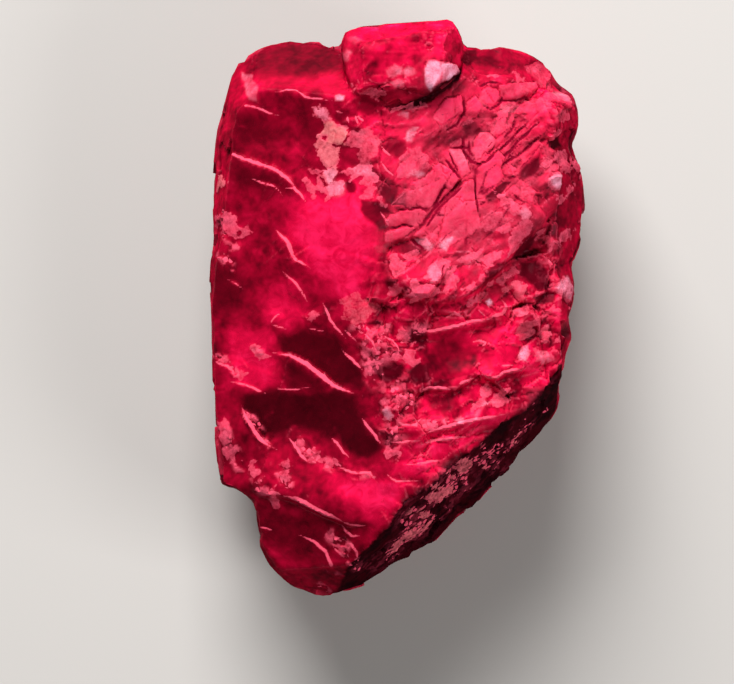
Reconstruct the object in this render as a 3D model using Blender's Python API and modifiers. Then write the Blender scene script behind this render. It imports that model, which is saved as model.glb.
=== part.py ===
"""A raw ruby crystal, one solid, lying on its flat parting face.

+X runs across the crystal, +Y along it towards the cap, and +Z up from the parting face to the broken front.
Every shape below is drawn in millimetres on a crystal of the driving size, and the finished body is brought
to exactly that size, in metres, with its base at Z = 0 and its middle at X = Y = 0.
"""

import math
import random

import bmesh
import bpy
import numpy as np
from mathutils import Vector, noise
from mathutils.kdtree import KDTree

# Driving dimensions, in metres.
WIDTH = 0.0196
LENGTH = 0.0300
THICKNESS = 0.0126

# Everything from here on is drawn in millimetres.
BLANK_THICKNESS = 12.8
VOXEL = 0.30
TRIANGLES = 8400
BASE_TRIM = 0.30  # how much the parting face takes off the underside
BASE_MARGIN = 0.08  # how close to the cut a point may be left
WELD = 0.0005  # points closer than this are one

# The outline seen from above, clockwise from the upper left corner, without the cap.
OUTLINE = (
    (-8.2, 12.9), (-7.1, 13.6), (-5.6, 14.0), (-4.1, 13.9), (-2.7, 13.5), (0.1, 13.3), (3.5, 13.6),
    (5.3, 13.6), (6.5, 13.4), (7.3, 13.0), (7.9, 12.5), (8.3, 11.8), (9.0, 11.3), (9.3, 10.6), (9.4, 9.8),
    (9.3, 9.2), (9.0, 8.7), (9.2, 8.1), (9.5, 7.5), (9.7, 6.6), (9.8, 5.4), (9.7, 4.1), (9.4, 3.2),
    (9.0, 2.3), (9.2, 1.3), (9.1, 0.4), (8.8, -0.4), (9.0, -1.5), (8.7, -2.3), (8.5, -3.9), (8.3, -5.2),
    (7.7, -6.2), (6.9, -7.5), (5.8, -8.5), (4.8, -9.5), (3.8, -10.4), (3.0, -11.0), (2.1, -11.9),
    (1.2, -12.8), (0.0, -13.4), (-1.3, -14.2), (-2.5, -14.7), (-3.4, -15.0), (-4.5, -14.8), (-5.6, -14.3),
    (-6.6, -13.3), (-7.1, -12.4), (-7.3, -11.1), (-7.5, -10.0), (-8.2, -9.5), (-9.2, -9.1), (-9.3, -7.6),
    (-9.5, -6.0), (-9.6, -3.9), (-9.6, -2.1), (-9.7, -0.5), (-9.8, 1.1), (-9.7, 2.5), (-9.5, 3.6),
    (-9.6, 5.1), (-9.6, 6.3), (-9.5, 8.3), (-9.3, 9.8), (-8.9, 11.0), (-8.6, 12.1),
)

# The cap: the block that stands out at the top end.
CAP_OUTLINE = (
    (-2.9, 13.7), (-2.7, 14.4), (-2.0, 14.7), (0.1, 14.8), (2.7, 15.0), (3.0, 14.6), (3.3, 14.0),
    (3.4, 13.1), (3.3, 12.4), (2.6, 11.7), (1.6, 11.0), (0.6, 10.6), (-0.9, 10.5), (-2.2, 10.9), (-2.7, 12.0),
)
CAP_BOTTOM, CAP_TOP = 4.0, 13.4
CAP_FACES = (
    ((0.0, 12.6, 12.9), (0.10, 0.22, 0.97)),  # top
    ((0.0, 10.9, 12.6), (0.05, -0.62, 0.78)),  # front
    ((-2.7, 12.8, 11.9), (-0.80, 0.10, 0.59)),  # left
    ((3.1, 12.8, 11.6), (0.78, 0.10, 0.62)),  # right
    ((0.2, 14.6, 11.6), (-0.05, 0.85, 0.52)),  # end
    ((0.2, 14.3, 6.0), (0.0, 0.70, -0.71)),  # underside
)

# The main faces, each a point on it and the way it looks out.
FACES = (
    ((-1.2, 2.0, 12.6), (-0.31, -0.03, 0.95)),  # left front face
    ((-1.2, 2.0, 12.6), (0.25, 0.03, 0.97)),  # right front face
    ((-5.0, 12.0, 10.7), (-0.12, 0.78, 0.60)),  # upper left bevel
    ((5.5, 11.9, 10.6), (0.18, 0.74, 0.63)),  # upper right bevel
    ((-9.3, 4.0, 9.0), (-0.93, 0.10, 0.36)),  # left edge strip
    ((-8.9, 11.2, 8.6), (-0.72, 0.50, 0.46)),  # upper left corner
    ((8.7, 4.0, 9.3), (0.84, 0.05, 0.52)),  # right edge strip
    ((8.3, 10.5, 9.2), (0.62, 0.52, 0.58)),  # upper right corner
    ((3.8, -7.7, 10.9), (0.66, -0.68, 0.32)),  # lower right facet
    ((7.9, -4.6, 9.6), (0.80, -0.48, 0.37)),  # its upper end
    ((-0.3, -11.5, 11.2), (0.58, -0.76, 0.30)),  # its lower end
    ((-5.0, -12.0, 10.3), (-0.32, -0.28, 0.90)),  # lower left lobe
    ((-7.4, -12.6, 8.0), (-0.72, -0.52, 0.45)),  # lobe's outer edge
    ((-3.4, -14.9, 7.8), (-0.12, -0.86, 0.50)),  # tip
    ((-9.3, 0.0, 3.6), (-0.86, 0.06, -0.50)),  # from here on, the undercut around the base
    ((-8.0, 10.5, 4.2), (-0.62, 0.58, -0.53)),
    ((-2.0, 13.4, 4.4), (0.04, 0.83, -0.56)),
    ((7.6, 11.2, 4.4), (0.60, 0.58, -0.55)),
    ((9.3, 4.0, 4.6), (0.84, -0.04, -0.54)),
    ((8.4, -4.2, 4.2), (0.80, -0.30, -0.52)),
    ((4.2, -9.4, 4.2), (0.60, -0.60, -0.53)),
    ((-0.6, -13.2, 3.8), (0.35, -0.76, -0.55)),
    ((-6.2, -12.8, 3.6), (-0.62, -0.58, -0.53)),
    ((-8.9, -6.0, 3.4), (-0.82, -0.18, -0.54)),
)

# The crest where the left and the right front faces meet, from the top end to the tip.
CREST = (
    (-2.5, 10.4), (-1.8, 7.3), (-1.2, 3.6), (-1.8, -0.5),
    (-0.9, -4.7), (-0.8, -7.3), (-0.3, -9.9), (-2.5, -13.8),
)

# Broken ledges on the front: route, height of the step and how far its raised side runs before it dies away.
# The raised side is on the left hand of someone who walks the route, or on the right for a height below zero.
LEDGES = (
    (  # the plateau's lower edge
        (
            (8.3, 5.9), (7.4, 4.3), (6.4, 3.2), (5.2, 2.0), (3.7, 0.7),
            (2.1, 0.2), (0.4, 0.5), (-0.7, 1.4), (-1.1, 2.8),
        ),
        -0.85,
        2.6,
    ),
    (((-0.3, -1.3), (1.2, -1.1), (3.0, -0.8), (4.4, -0.5), (5.6, -0.4), (6.4, -0.9)), 0.50, 1.6),
    (((0.0, -4.8), (1.2, -4.1), (2.5, -3.7), (3.8, -3.6), (4.9, -3.3), (6.9, -2.9), (8.3, -2.2)), 0.55, 1.7),
    (((-0.1, -7.2), (1.4, -6.4), (3.3, -6.0), (5.3, -5.5), (7.2, -4.9)), 0.50, 1.5),
    (  # the step above the lower left lobe
        (
            (-8.6, -9.0), (-7.3, -9.4), (-6.2, -9.5), (-5.0, -10.0),
            (-3.7, -10.5), (-2.4, -11.0), (-0.7, -11.1),
        ),
        0.60,
        2.4,
    ),
    (((-6.6, -2.2), (-5.6, -2.4), (-4.7, -2.8), (-4.0, -3.4), (-3.4, -4.0), (-2.1, -4.4)), -0.35, 1.8),
    (((-9.4, 8.3), (-8.8, 8.0), (-7.1, 7.5), (-6.3, 7.2), (-5.7, 6.8), (-5.1, 6.1)), -0.30, 1.6),
    (((-6.4, 4.2), (-6.0, 3.8), (-5.6, 3.4), (-5.2, 2.6), (-4.4, 2.1)), -0.25, 1.4),
    (((-8.2, -5.1), (-7.8, -5.8), (-7.1, -6.8), (-6.3, -7.3)), -0.25, 1.2),
)
LEDGE_RISER = 0.30  # half the width of the riser
LEDGE_FADE = 0.42  # the share of its length over which a step fades in at either end
LONGEST_FADE = 2.0  # and the most that this may come to

# Rounded knobs and hollows: middle, radius and height, which is below zero for a hollow.
KNOBS = (
    ((-2.6, 3.9), 2.6, 0.35),
    ((5.0, 6.2), 2.8, 0.45),
    ((8.6, 10.2), 1.0, 0.40),
    ((7.8, 6.3), 1.3, 0.35),
    ((6.9, 2.6), 0.9, -0.50),
    ((8.7, 1.0), 0.8, 0.40),
    ((2.4, -2.3), 1.6, -0.40),
    ((5.2, -2.0), 1.1, 0.35),
    ((7.6, -3.4), 0.9, -0.35),
    ((-3.6, -3.2), 1.9, -0.30),
    ((-6.2, 9.0), 2.2, -0.30),
    ((-4.8, -6.6), 2.2, -0.25),
    ((1.4, 9.6), 1.1, 0.30),
    ((3.4, 8.9), 1.2, -0.30),
)

# The plateau of flat plates on the right front face: its middle and its reach across and along.
PLATEAU = (3.4, 6.4, 4.4, 5.4)

# Chipped ground: how far apart the chips are, how much they lean, and the depth and width of the notches
# between them. A region's roughness is the share of that relief it gets.
CHIP_SPACING = 2.2
CHIP_JITTER = 0.42  # how far a chip strays from its cell's middle, as a share of the spacing
CHIP_LEAN = 0.20
CHIP_NOTCH = 0.16
CHIP_BLEND = 0.45
CHIP_SEED = 11
LEFT_FACE_ROUGHNESS = 0.08
PLATEAU_ROUGHNESS = 0.55
LEFT_SIDE_ROUGHNESS = 0.35
RIGHT_SIDE_ROUGHNESS = 0.80
RIM_ROUGHNESS = 0.30

# Calm ground, where the chips are weaker: middle, reach across and along, and how calm it is.
CALM = (
    ((0.5, 13.0), (3.2, 1.6), 0.80),
    ((5.6, 12.6), (3.2, 1.3), 0.65),
    ((-5.4, 12.6), (3.0, 1.4), 0.60),
    ((0.6, 9.6), (2.2, 2.0), 0.50),
    ((2.8, -2.2), (2.4, 1.4), 0.75),
    ((2.2, -4.9), (2.2, 0.9), 0.60),
    ((1.4, -8.4), (2.4, 1.6), 0.50),
)

# The uneven border between the smooth left face and the chipped right one: how far it wanders off the crest,
# the size of its bays, and where the chipped ground starts and is in full.
BORDER_WANDER = 1.3
BORDER_BAYS = 2.4
BORDER_SEED = 6
BORDER_START, BORDER_END = -0.9, 1.6

RUBY_COLOUR = (0.47, 0.006, 0.045)
RUBY_ROUGHNESS = 0.25
RUBY_IOR = 1.77
SHARP_ANGLE = 25  # degrees; a flatter edge is shaded smooth


def clear_scene():
    for thing in list(bpy.data.objects):
        bpy.data.objects.remove(thing, do_unlink=True)


def slab(outline, bottom, top):
    """A bmesh of the outline, pulled from one height to another."""
    curve = bpy.data.curves.new("slab_outline", "CURVE")
    curve.dimensions = "2D"
    curve.fill_mode = "BOTH"
    curve.extrude = (top - bottom) / 2
    spline = curve.splines.new("POLY")
    spline.points.add(len(outline) - 1)
    for point, (x, y) in zip(spline.points, outline):
        point.co = (x, y, 0, 1)
    spline.use_cyclic_u = True
    guide = bpy.data.objects.new("slab_outline", curve)
    bpy.context.scene.collection.objects.link(guide)
    graph = bpy.context.evaluated_depsgraph_get()
    mesh = bpy.data.meshes.new_from_object(guide.evaluated_get(graph))
    body = bmesh.new()
    body.from_mesh(mesh)
    bmesh.ops.remove_doubles(body, verts=body.verts, dist=WELD)
    bmesh.ops.translate(body, verts=body.verts, vec=(0, 0, (top + bottom) / 2))
    bmesh.ops.recalc_face_normals(body, faces=body.faces)
    bpy.data.objects.remove(guide)
    bpy.data.curves.remove(curve)
    bpy.data.meshes.remove(mesh)
    return body


def cut(body, point, outward):
    """Cuts the body flat by a plane and closes the cut."""
    everything = body.verts[:] + body.edges[:] + body.faces[:]
    outward = Vector(outward).normalized()
    made = bmesh.ops.bisect_plane(
        body, geom=everything, plane_co=point, plane_no=outward, clear_outer=True, dist=WELD
    )
    rim = [edge for edge in made["geom_cut"] if isinstance(edge, bmesh.types.BMEdge)]
    bmesh.ops.holes_fill(body, edges=rim, sides=0)


def blank():
    """The rough block and its cap, cut by the main faces, as one mesh of two overlapping bodies."""
    block = slab(OUTLINE, 0.0, BLANK_THICKNESS)
    for point, outward in FACES:
        cut(block, point, outward)
    cap = slab(CAP_OUTLINE, CAP_BOTTOM, CAP_TOP)
    for point, outward in CAP_FACES:
        cut(cap, point, outward)
    mesh = bpy.data.meshes.new("blank")
    cap.to_mesh(mesh)
    block.from_mesh(mesh)
    block.to_mesh(mesh)
    block.free()
    cap.free()
    return mesh


def even_mesh(mesh, voxel):
    """The overlapping bodies joined into one skin of even squares."""
    carrier = bpy.data.objects.new("carrier", mesh)
    bpy.context.scene.collection.objects.link(carrier)
    remesh = carrier.modifiers.new("even", "REMESH")
    remesh.mode = "VOXEL"
    remesh.voxel_size = voxel
    graph = bpy.context.evaluated_depsgraph_get()
    even = bpy.data.meshes.new_from_object(carrier.evaluated_get(graph))
    bpy.data.objects.remove(carrier)
    return even


def fewer_triangles(mesh, count):
    """The same skin with its flat stretches thinned out, down to about this many triangles."""
    carrier = bpy.data.objects.new("carrier", mesh)
    bpy.context.scene.collection.objects.link(carrier)
    thinner = carrier.modifiers.new("thinner", "DECIMATE")
    thinner.ratio = count / (2 * len(mesh.polygons))
    graph = bpy.context.evaluated_depsgraph_get()
    thin = bpy.data.meshes.new_from_object(carrier.evaluated_get(graph))
    bpy.data.objects.remove(carrier)
    return thin


def points_of(mesh):
    places = np.empty(len(mesh.vertices) * 3, np.float32)
    mesh.vertices.foreach_get("co", places)
    return places.reshape(-1, 3).astype(float)


def normals_of(mesh):
    ways = np.empty(len(mesh.vertices) * 3, np.float32)
    mesh.vertex_normals.foreach_get("vector", ways)
    return ways.reshape(-1, 3).astype(float)


def set_points(mesh, places):
    mesh.vertices.foreach_set("co", places.astype(np.float32).ravel())
    mesh.update()


def ramp(value, low, high):
    """0 below low, 1 above high and smooth between them."""
    share = np.clip((value - low) / (high - low), 0, 1)
    return share * share * (3 - 2 * share)


def along(places, route):
    """Each point's distance from a route, signed by its side of it, and how far along the route it lies."""
    corners = np.array(route, float)
    stretches = np.hypot(*(corners[1:] - corners[:-1]).T)
    starts = np.concatenate([[0], np.cumsum(stretches)[:-1]])
    nearest = np.full(len(places), np.inf)
    signed = np.zeros(len(places))
    travelled = np.zeros(len(places))
    for begin, end, length, start in zip(corners[:-1], corners[1:], stretches, starts):
        way = (end - begin) / length
        offset = places[:, :2] - begin
        share = np.clip(offset @ way, 0, length)
        apart = np.hypot(*(offset - share[:, None] * way).T)
        side = way[0] * offset[:, 1] - way[1] * offset[:, 0]
        closer = apart < nearest - 1e-9
        nearest = np.where(closer, apart, nearest)
        signed = np.where(closer, np.copysign(apart, side), signed)
        travelled = np.where(closer, start + share, travelled)
    return signed, travelled, stretches.sum()


def ledge(places, route, height, reach):
    """A step: it rises across the route and dies away behind it and at both ends."""
    signed, travelled, total = along(places, route)
    if height < 0:
        signed = -signed
    rise = 0.5 + 0.5 * np.tanh(signed / LEDGE_RISER)
    fade = min(LEDGE_FADE * total, LONGEST_FADE)
    ends = ramp(travelled, 0, fade) * ramp(total - travelled, 0, fade)
    return abs(height) * rise * np.exp(-((np.maximum(signed, 0) / reach) ** 2)) * ends


def spot(places, centre, reach):
    """1 at the centre and dying away over the reach across and along."""
    across = (places[:, 0] - centre[0]) / reach[0]
    lengthways = (places[:, 1] - centre[1]) / reach[1]
    return np.exp(-(across**2) - lengthways**2)


def wave(places, size, seed):
    """Smooth noise from -1 to 1 with lumps of about this size."""
    shift = Vector((seed * 7.3, seed * 3.1, seed * 5.7))
    return np.array([noise.noise(Vector(place) / size + shift) for place in places])


def chips(places, spacing, lean, notch, blend, seed):
    """Tilted flat chips with notches between them, from a jittered lattice of chip centres."""
    dice = random.Random(seed)
    low, high = places.min(0) - spacing, places.max(0) + spacing
    counts = np.ceil((high - low) / spacing).astype(int)
    tree = KDTree(int(np.prod(counts)))
    tilts = []
    for cell in np.ndindex(*counts):
        strays = [dice.uniform(-CHIP_JITTER, CHIP_JITTER) for _ in range(3)]
        centre = [low[k] + (cell[k] + 0.5 + strays[k]) * spacing for k in range(3)]
        tree.insert(centre, len(tilts))
        tilts.append([dice.gauss(0, lean) for _ in range(3)])
    tree.balance()
    heights = np.empty(len(places))
    for i, place in enumerate(places):
        (first, a, near), (second, b, far) = tree.find_n(place, 2)
        inner = sum(t * (p - c) for t, p, c in zip(tilts[a], place, first))
        outer = sum(t * (p - c) for t, p, c in zip(tilts[b], place, second))
        inside = min((far - near) / blend, 1.0)
        share = 0.5 + 0.5 * inside * inside * (3 - 2 * inside)
        heights[i] = share * inner + (1 - share) * outer - notch * (1 - inside) ** 2
    return heights


def relief(places, normals):
    """How far each point of the blank is moved outwards."""
    front = ramp(normals[:, 2], 0.35, 0.75)
    crest = np.interp(places[:, 1], [p[1] for p in reversed(CREST)], [p[0] for p in reversed(CREST)])
    wander = BORDER_WANDER * wave(places, BORDER_BAYS, BORDER_SEED)
    right = ramp(places[:, 0] - crest + wander, BORDER_START, BORDER_END)
    side = (1 - front) * ramp(normals[:, 2], -0.90, -0.65)
    rim = 1 - ramp(abs(normals[:, 2]), 0.05, 0.30)
    x, y, reach_x, reach_y = PLATEAU
    plateau = np.exp(-((((places[:, 0] - x) / reach_x) ** 2 + ((places[:, 1] - y) / reach_y) ** 2) ** 2))
    ground = 1 + plateau * (PLATEAU_ROUGHNESS - 1)
    edges = LEFT_SIDE_ROUGHNESS + ramp(places[:, 0], -6, 2) * (RIGHT_SIDE_ROUGHNESS - LEFT_SIDE_ROUGHNESS)
    rough = front * (right * ground + (1 - right) * LEFT_FACE_ROUGHNESS)
    rough += side * (edges + rim * (RIM_ROUGHNESS - edges))
    for centre, reach, calm in CALM:
        rough *= 1 - calm * spot(places, centre, reach)
    height = rough * chips(places, CHIP_SPACING, CHIP_LEAN, CHIP_NOTCH, CHIP_BLEND, CHIP_SEED)
    for route, step, reach in LEDGES:
        height += front * ledge(places, route, step, reach)
    for centre, radius, rise in KNOBS:
        height += front * rise * spot(places, centre, (radius, radius))
    return height


def rest_face(body):
    """Cuts the parting face that the crystal lies on truly flat, with no point left close to the cut."""
    for vertex in body.verts:
        above = vertex.co.z - BASE_TRIM
        if abs(above) < BASE_MARGIN:
            vertex.co.z = BASE_TRIM + math.copysign(BASE_MARGIN, above)
    cut(body, (0, 0, BASE_TRIM), (0, 0, -1))


def fit_to_size(places):
    """Centres the body over its base, in metres, at exactly the driving size."""
    low, high = places.min(0), places.max(0)
    middle = np.array([(low[0] + high[0]) / 2, (low[1] + high[1]) / 2, low[2]])
    return (places - middle) * np.array([WIDTH, LENGTH, THICKNESS]) / (high - low)


def ruby():
    material = bpy.data.materials.new("ruby")
    material.use_nodes = True
    shader = material.node_tree.nodes["Principled BSDF"]
    shader.inputs["Base Color"].default_value = (*RUBY_COLOUR, 1)
    shader.inputs["Roughness"].default_value = RUBY_ROUGHNESS
    shader.inputs["Metallic"].default_value = 0.0
    shader.inputs["IOR"].default_value = RUBY_IOR
    return material


def ruby_crystal():
    mesh = even_mesh(blank(), VOXEL)
    places, normals = points_of(mesh), normals_of(mesh)
    set_points(mesh, places + normals * relief(places, normals)[:, None])
    mesh = fewer_triangles(mesh, TRIANGLES)
    body = bmesh.new()
    body.from_mesh(mesh)
    rest_face(body)
    bmesh.ops.triangulate(body, faces=body.faces)
    body.to_mesh(mesh)
    body.free()
    set_points(mesh, fit_to_size(points_of(mesh)))
    mesh.name = "ruby_crystal"
    mesh.materials.append(ruby())
    crystal = bpy.data.objects.new("ruby_crystal", mesh)
    home = bpy.data.collections.new("raw_ruby_crystal")
    bpy.context.scene.collection.children.link(home)
    home.objects.link(crystal)
    mesh.shade_smooth()
    mesh.set_sharp_from_angle(angle=math.radians(SHARP_ANGLE))


clear_scene()
ruby_crystal()
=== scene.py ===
"""Raw ruby crystal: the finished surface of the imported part, laid out as an add-on.

The crystal lies on its parting face. +X runs across it, +Y along it towards the cap and +Z up to the broken
front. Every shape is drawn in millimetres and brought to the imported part's own box at the end.
"""

import math
import random

import bmesh
import bpy
import numpy as np
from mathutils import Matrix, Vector, noise
from mathutils.kdtree import KDTree


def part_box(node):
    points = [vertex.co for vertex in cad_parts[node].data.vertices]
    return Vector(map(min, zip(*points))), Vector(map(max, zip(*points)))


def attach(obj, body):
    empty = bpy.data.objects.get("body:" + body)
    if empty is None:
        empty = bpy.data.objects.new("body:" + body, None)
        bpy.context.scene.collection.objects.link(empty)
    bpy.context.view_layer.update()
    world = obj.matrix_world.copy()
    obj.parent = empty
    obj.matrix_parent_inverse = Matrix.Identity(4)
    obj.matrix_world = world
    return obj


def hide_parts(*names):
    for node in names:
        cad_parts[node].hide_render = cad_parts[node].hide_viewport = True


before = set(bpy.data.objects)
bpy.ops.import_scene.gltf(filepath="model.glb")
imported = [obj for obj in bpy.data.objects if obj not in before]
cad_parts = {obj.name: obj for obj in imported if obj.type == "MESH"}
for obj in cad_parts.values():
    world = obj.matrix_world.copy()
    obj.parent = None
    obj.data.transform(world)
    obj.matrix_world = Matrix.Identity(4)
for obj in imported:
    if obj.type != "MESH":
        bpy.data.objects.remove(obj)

bl_info = {
    "name": "Raw Ruby Crystal",
    "version": (1, 0, 0),
    "blender": (4, 5, 0),
    "location": "View3D > Sidebar > Ruby",
    "description": "Builds a rough ruby crystal and a small studio for it",
    "category": "Add Mesh",
}

MM = 0.001
NODE = "ruby_crystal"
CAD_LOW, CAD_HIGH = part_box(NODE)

# Many routes and patches are given point by point on a drawing grid, with columns that run to the right and
# rows that run down. The crystal is 30 mm long and spans 575 of its cells.
GRID_CELL = 30 / 575
GRID_MIDDLE = (397.5, 309.5)


def mm(points):
    """A route or patch written as "x,y x,y" in millimetres."""
    return tuple(tuple(float(value) for value in point.split(",")) for point in points.split())


def shrunk(values, size):
    """The values drawn together about their mean, to a tenth."""
    mean = sum(values) / len(values)
    return [round(mean + size * (value - mean), 1) for value in values]


def grid(points, size=1.0):
    """A route or patch written as "column,row column,row" on the grid, in millimetres from the middle.

    With a size below 1 it is drawn smaller about its own middle.
    """
    columns, rows = zip(*mm(points))
    if size < 1:
        columns, rows = shrunk(columns, size), shrunk(rows, size)
    middle_x, middle_y = GRID_MIDDLE
    return tuple(
        (round((column - middle_x) * GRID_CELL, 2), round((middle_y - row) * GRID_CELL, 2))
        for column, row in zip(columns, rows)
    )


def drawn_table(text, size=1.0):
    """A table of routes or patches: each row's points on the grid, as "column,row", and then its numbers."""
    table = []
    for word in text.split():
        if "," not in word:
            table[-1].append(float(word))
        elif table and len(table[-1]) == 1:
            table[-1][0].append(word)
        else:
            table.append([[word]])
    return tuple((grid(" ".join(points), size), *numbers) for points, *numbers in table)


# ---------------------------------------------------------------------------------------------------------
# The form, in millimetres
# ---------------------------------------------------------------------------------------------------------

BLANK_THICKNESS = 12.8
BASE_TRIM = 0.30
BASE_MARGIN = 0.05

# The outline seen from above, clockwise from the upper left corner, without the cap.
OUTLINE = (
    (-8.2, 12.9), (-7.1, 13.6), (-5.6, 14.0), (-4.1, 13.9), (-2.7, 13.5), (0.1, 13.3), (3.5, 13.6),
    (5.3, 13.6), (6.5, 13.4), (7.3, 13.0), (7.9, 12.5), (8.3, 11.8), (9.0, 11.3), (9.3, 10.6), (9.4, 9.8),
    (9.3, 9.2), (9.0, 8.7), (9.2, 8.1), (9.5, 7.5), (9.7, 6.6), (9.8, 5.4), (9.7, 4.1), (9.4, 3.2),
    (9.0, 2.3), (9.2, 1.3), (9.1, 0.4), (8.8, -0.4), (9.0, -1.5), (8.7, -2.3), (8.5, -3.9), (8.3, -5.2),
    (7.7, -6.2), (6.9, -7.5), (5.8, -8.5), (4.8, -9.5), (3.8, -10.4), (3.0, -11.0), (2.1, -11.9),
    (1.2, -12.8), (0.0, -13.4), (-1.3, -14.2), (-2.5, -14.7), (-3.4, -15.0), (-4.5, -14.8), (-5.6, -14.3),
    (-6.6, -13.3), (-7.1, -12.4), (-7.3, -11.1), (-7.5, -10.0), (-8.2, -9.5), (-9.2, -9.1), (-9.3, -7.6),
    (-9.5, -6.0), (-9.6, -3.9), (-9.6, -2.1), (-9.7, -0.5), (-9.8, 1.1), (-9.7, 2.5), (-9.5, 3.6),
    (-9.6, 5.1), (-9.6, 6.3), (-9.5, 8.3), (-9.3, 9.8), (-8.9, 11.0), (-8.6, 12.1),
)

# The cap: the block that stands out at the top end.
CAP_OUTLINE = (
    (-2.9, 13.7), (-2.7, 14.4), (-2.0, 14.7), (0.1, 14.8), (2.7, 15.0), (3.0, 14.6), (3.3, 14.0),
    (3.4, 13.1), (3.3, 12.4), (2.6, 11.7), (1.6, 11.0), (0.6, 10.6), (-0.9, 10.5), (-2.2, 10.9), (-2.7, 12.0),
)
CAP_BOTTOM, CAP_TOP = 4.0, 13.4
CAP_FACES = (
    ((0.0, 12.6, 12.9), (0.10, 0.22, 0.97)),
    ((0.0, 10.9, 12.6), (0.05, -0.62, 0.78)),
    ((-2.7, 12.8, 11.9), (-0.80, 0.10, 0.59)),
    ((3.1, 12.8, 11.6), (0.78, 0.10, 0.62)),
    ((0.2, 14.6, 11.6), (-0.05, 0.85, 0.52)),
    ((0.2, 14.3, 6.0), (0.0, 0.70, -0.71)),
)

# The main faces, each a point on it and the way it looks out.
FACES = (
    ((-1.2, 2.0, 12.6), (-0.31, -0.03, 0.95)),  # left front face
    ((-1.2, 2.0, 12.6), (0.25, 0.03, 0.97)),  # right front face
    ((-5.0, 12.0, 10.7), (-0.12, 0.78, 0.60)),  # upper left bevel
    ((5.5, 11.9, 10.6), (0.18, 0.74, 0.63)),  # upper right bevel
    ((-9.6, 4.0, 9.0), (-0.93, 0.10, 0.36)),  # left edge strip
    ((-8.9, 11.2, 8.6), (-0.72, 0.50, 0.46)),  # upper left corner
    ((8.7, 4.0, 9.3), (0.84, 0.05, 0.52)),  # right edge strip
    ((8.3, 10.5, 9.2), (0.62, 0.52, 0.58)),  # upper right corner
    ((3.8, -7.7, 10.9), (0.66, -0.68, 0.32)),  # lower right facet
    ((7.9, -4.6, 9.6), (0.80, -0.48, 0.37)),  # its upper end
    ((-0.3, -11.5, 11.2), (0.58, -0.76, 0.30)),  # its lower end
    ((-5.0, -12.0, 10.3), (-0.32, -0.28, 0.90)),  # lower left lobe
    ((-7.6, -12.8, 8.0), (-0.72, -0.52, 0.45)),  # lobe's outer edge
    ((-3.4, -14.9, 7.8), (-0.12, -0.86, 0.50)),  # tip
    ((-9.3, 0.0, 3.6), (-0.86, 0.06, -0.50)),  # from here on, the undercut around the base
    ((-8.0, 10.5, 4.2), (-0.62, 0.58, -0.53)),
    ((-2.0, 13.4, 4.4), (0.04, 0.83, -0.56)),
    ((7.6, 11.2, 4.4), (0.60, 0.58, -0.55)),
    ((9.3, 4.0, 4.6), (0.84, -0.04, -0.54)),
    ((8.4, -4.2, 4.2), (0.80, -0.30, -0.52)),
    ((4.2, -9.4, 4.2), (0.60, -0.60, -0.53)),
    ((-0.6, -13.2, 3.8), (0.35, -0.76, -0.55)),
    ((-6.2, -12.8, 3.6), (-0.62, -0.58, -0.53)),
    ((-8.9, -6.0, 3.4), (-0.82, -0.18, -0.54)),
)

# The crest where the left and the right front faces meet, from the top end to the tip.
CREST = (
    (-2.5, 10.4), (-1.8, 7.3), (-1.2, 3.6), (-1.8, -0.5),
    (-0.9, -4.7), (-0.8, -7.3), (-0.3, -9.9), (-2.5, -13.8),
)

# Broken ledges on the front: route, height of the step and how far its raised side runs before it dies away.
# The raised side is on the left hand of someone who walks the route, or on the right for a height below zero.
LEDGES = (
    (mm("8.3,5.9 7.4,4.3 6.4,3.2 5.2,2 3.7,0.7 2.1,0.2 0.4,0.5 -0.7,1.4 -1.1,2.8"), -0.85, 2.6),
    (grid("392,340 415,339 440,334 465,328 487,324 505,320 520,328"), 0.45, 1.6),
    (grid("397,405 420,393 436,391 452,393 470,382 493,379 530,369 557,355"), 0.50, 1.7),
    (grid("395,449 417,439 440,431 470,424 503,418 536,406"), 0.45, 1.5),
    (grid("233,484 258,492 283,497 300,501 315,508 326,514 346,523 384,525"), 0.42, 2.4),
    (grid("270,352 290,355 307,363 321,375 332,386 357,394"), -0.35, 1.8),
    (grid("217,150 229,153 261,166 277,171 288,179 300,193"), -0.30, 1.6),
    (grid("275,229 282,237 290,244 298,260 313,270"), -0.25, 1.4),
    (grid("241,406 249,421 262,440 277,450"), -0.25, 1.2),
)
LEDGE_RISER = 0.17  # half the width of the riser
LOW_LEDGE, LOW_RISER = 0.40, 0.04  # ledges lower than this have a crisp riser, and follow the lips along them
LEDGE_FADE = 0.42  # the share of its length over which a step fades in at either end
LONGEST_FADE = 2.0  # and the most that this may come to

# Rounded knobs and hollows: middle, radius and height, which is below zero for a hollow.
KNOBS = (
    ((-2.6, 3.9), 2.6, 0.35),
    ((5.0, 6.2), 2.8, 0.45),
    ((8.6, 10.2), 1.0, 0.40),
    ((7.8, 6.3), 1.3, 0.35),
    ((6.9, 2.6), 0.9, -0.50),
    ((8.7, 1.0), 0.8, 0.40),
    ((2.4, -2.3), 1.6, -0.40),
    ((5.2, -2.0), 1.1, 0.35),
    ((7.6, -3.4), 0.9, -0.35),
    ((-3.6, -3.2), 1.9, -0.30),
    ((-6.2, 9.0), 2.2, -0.30),
    ((-4.8, -6.6), 2.2, -0.25),
    ((1.4, 9.6), 1.1, 0.30),
    ((3.4, 8.9), 1.2, -0.30),
)

# The plateau of flat plates on the right front face: its middle and its reach across and along.
PLATEAU = (3.4, 6.4, 4.4, 5.4)

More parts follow.
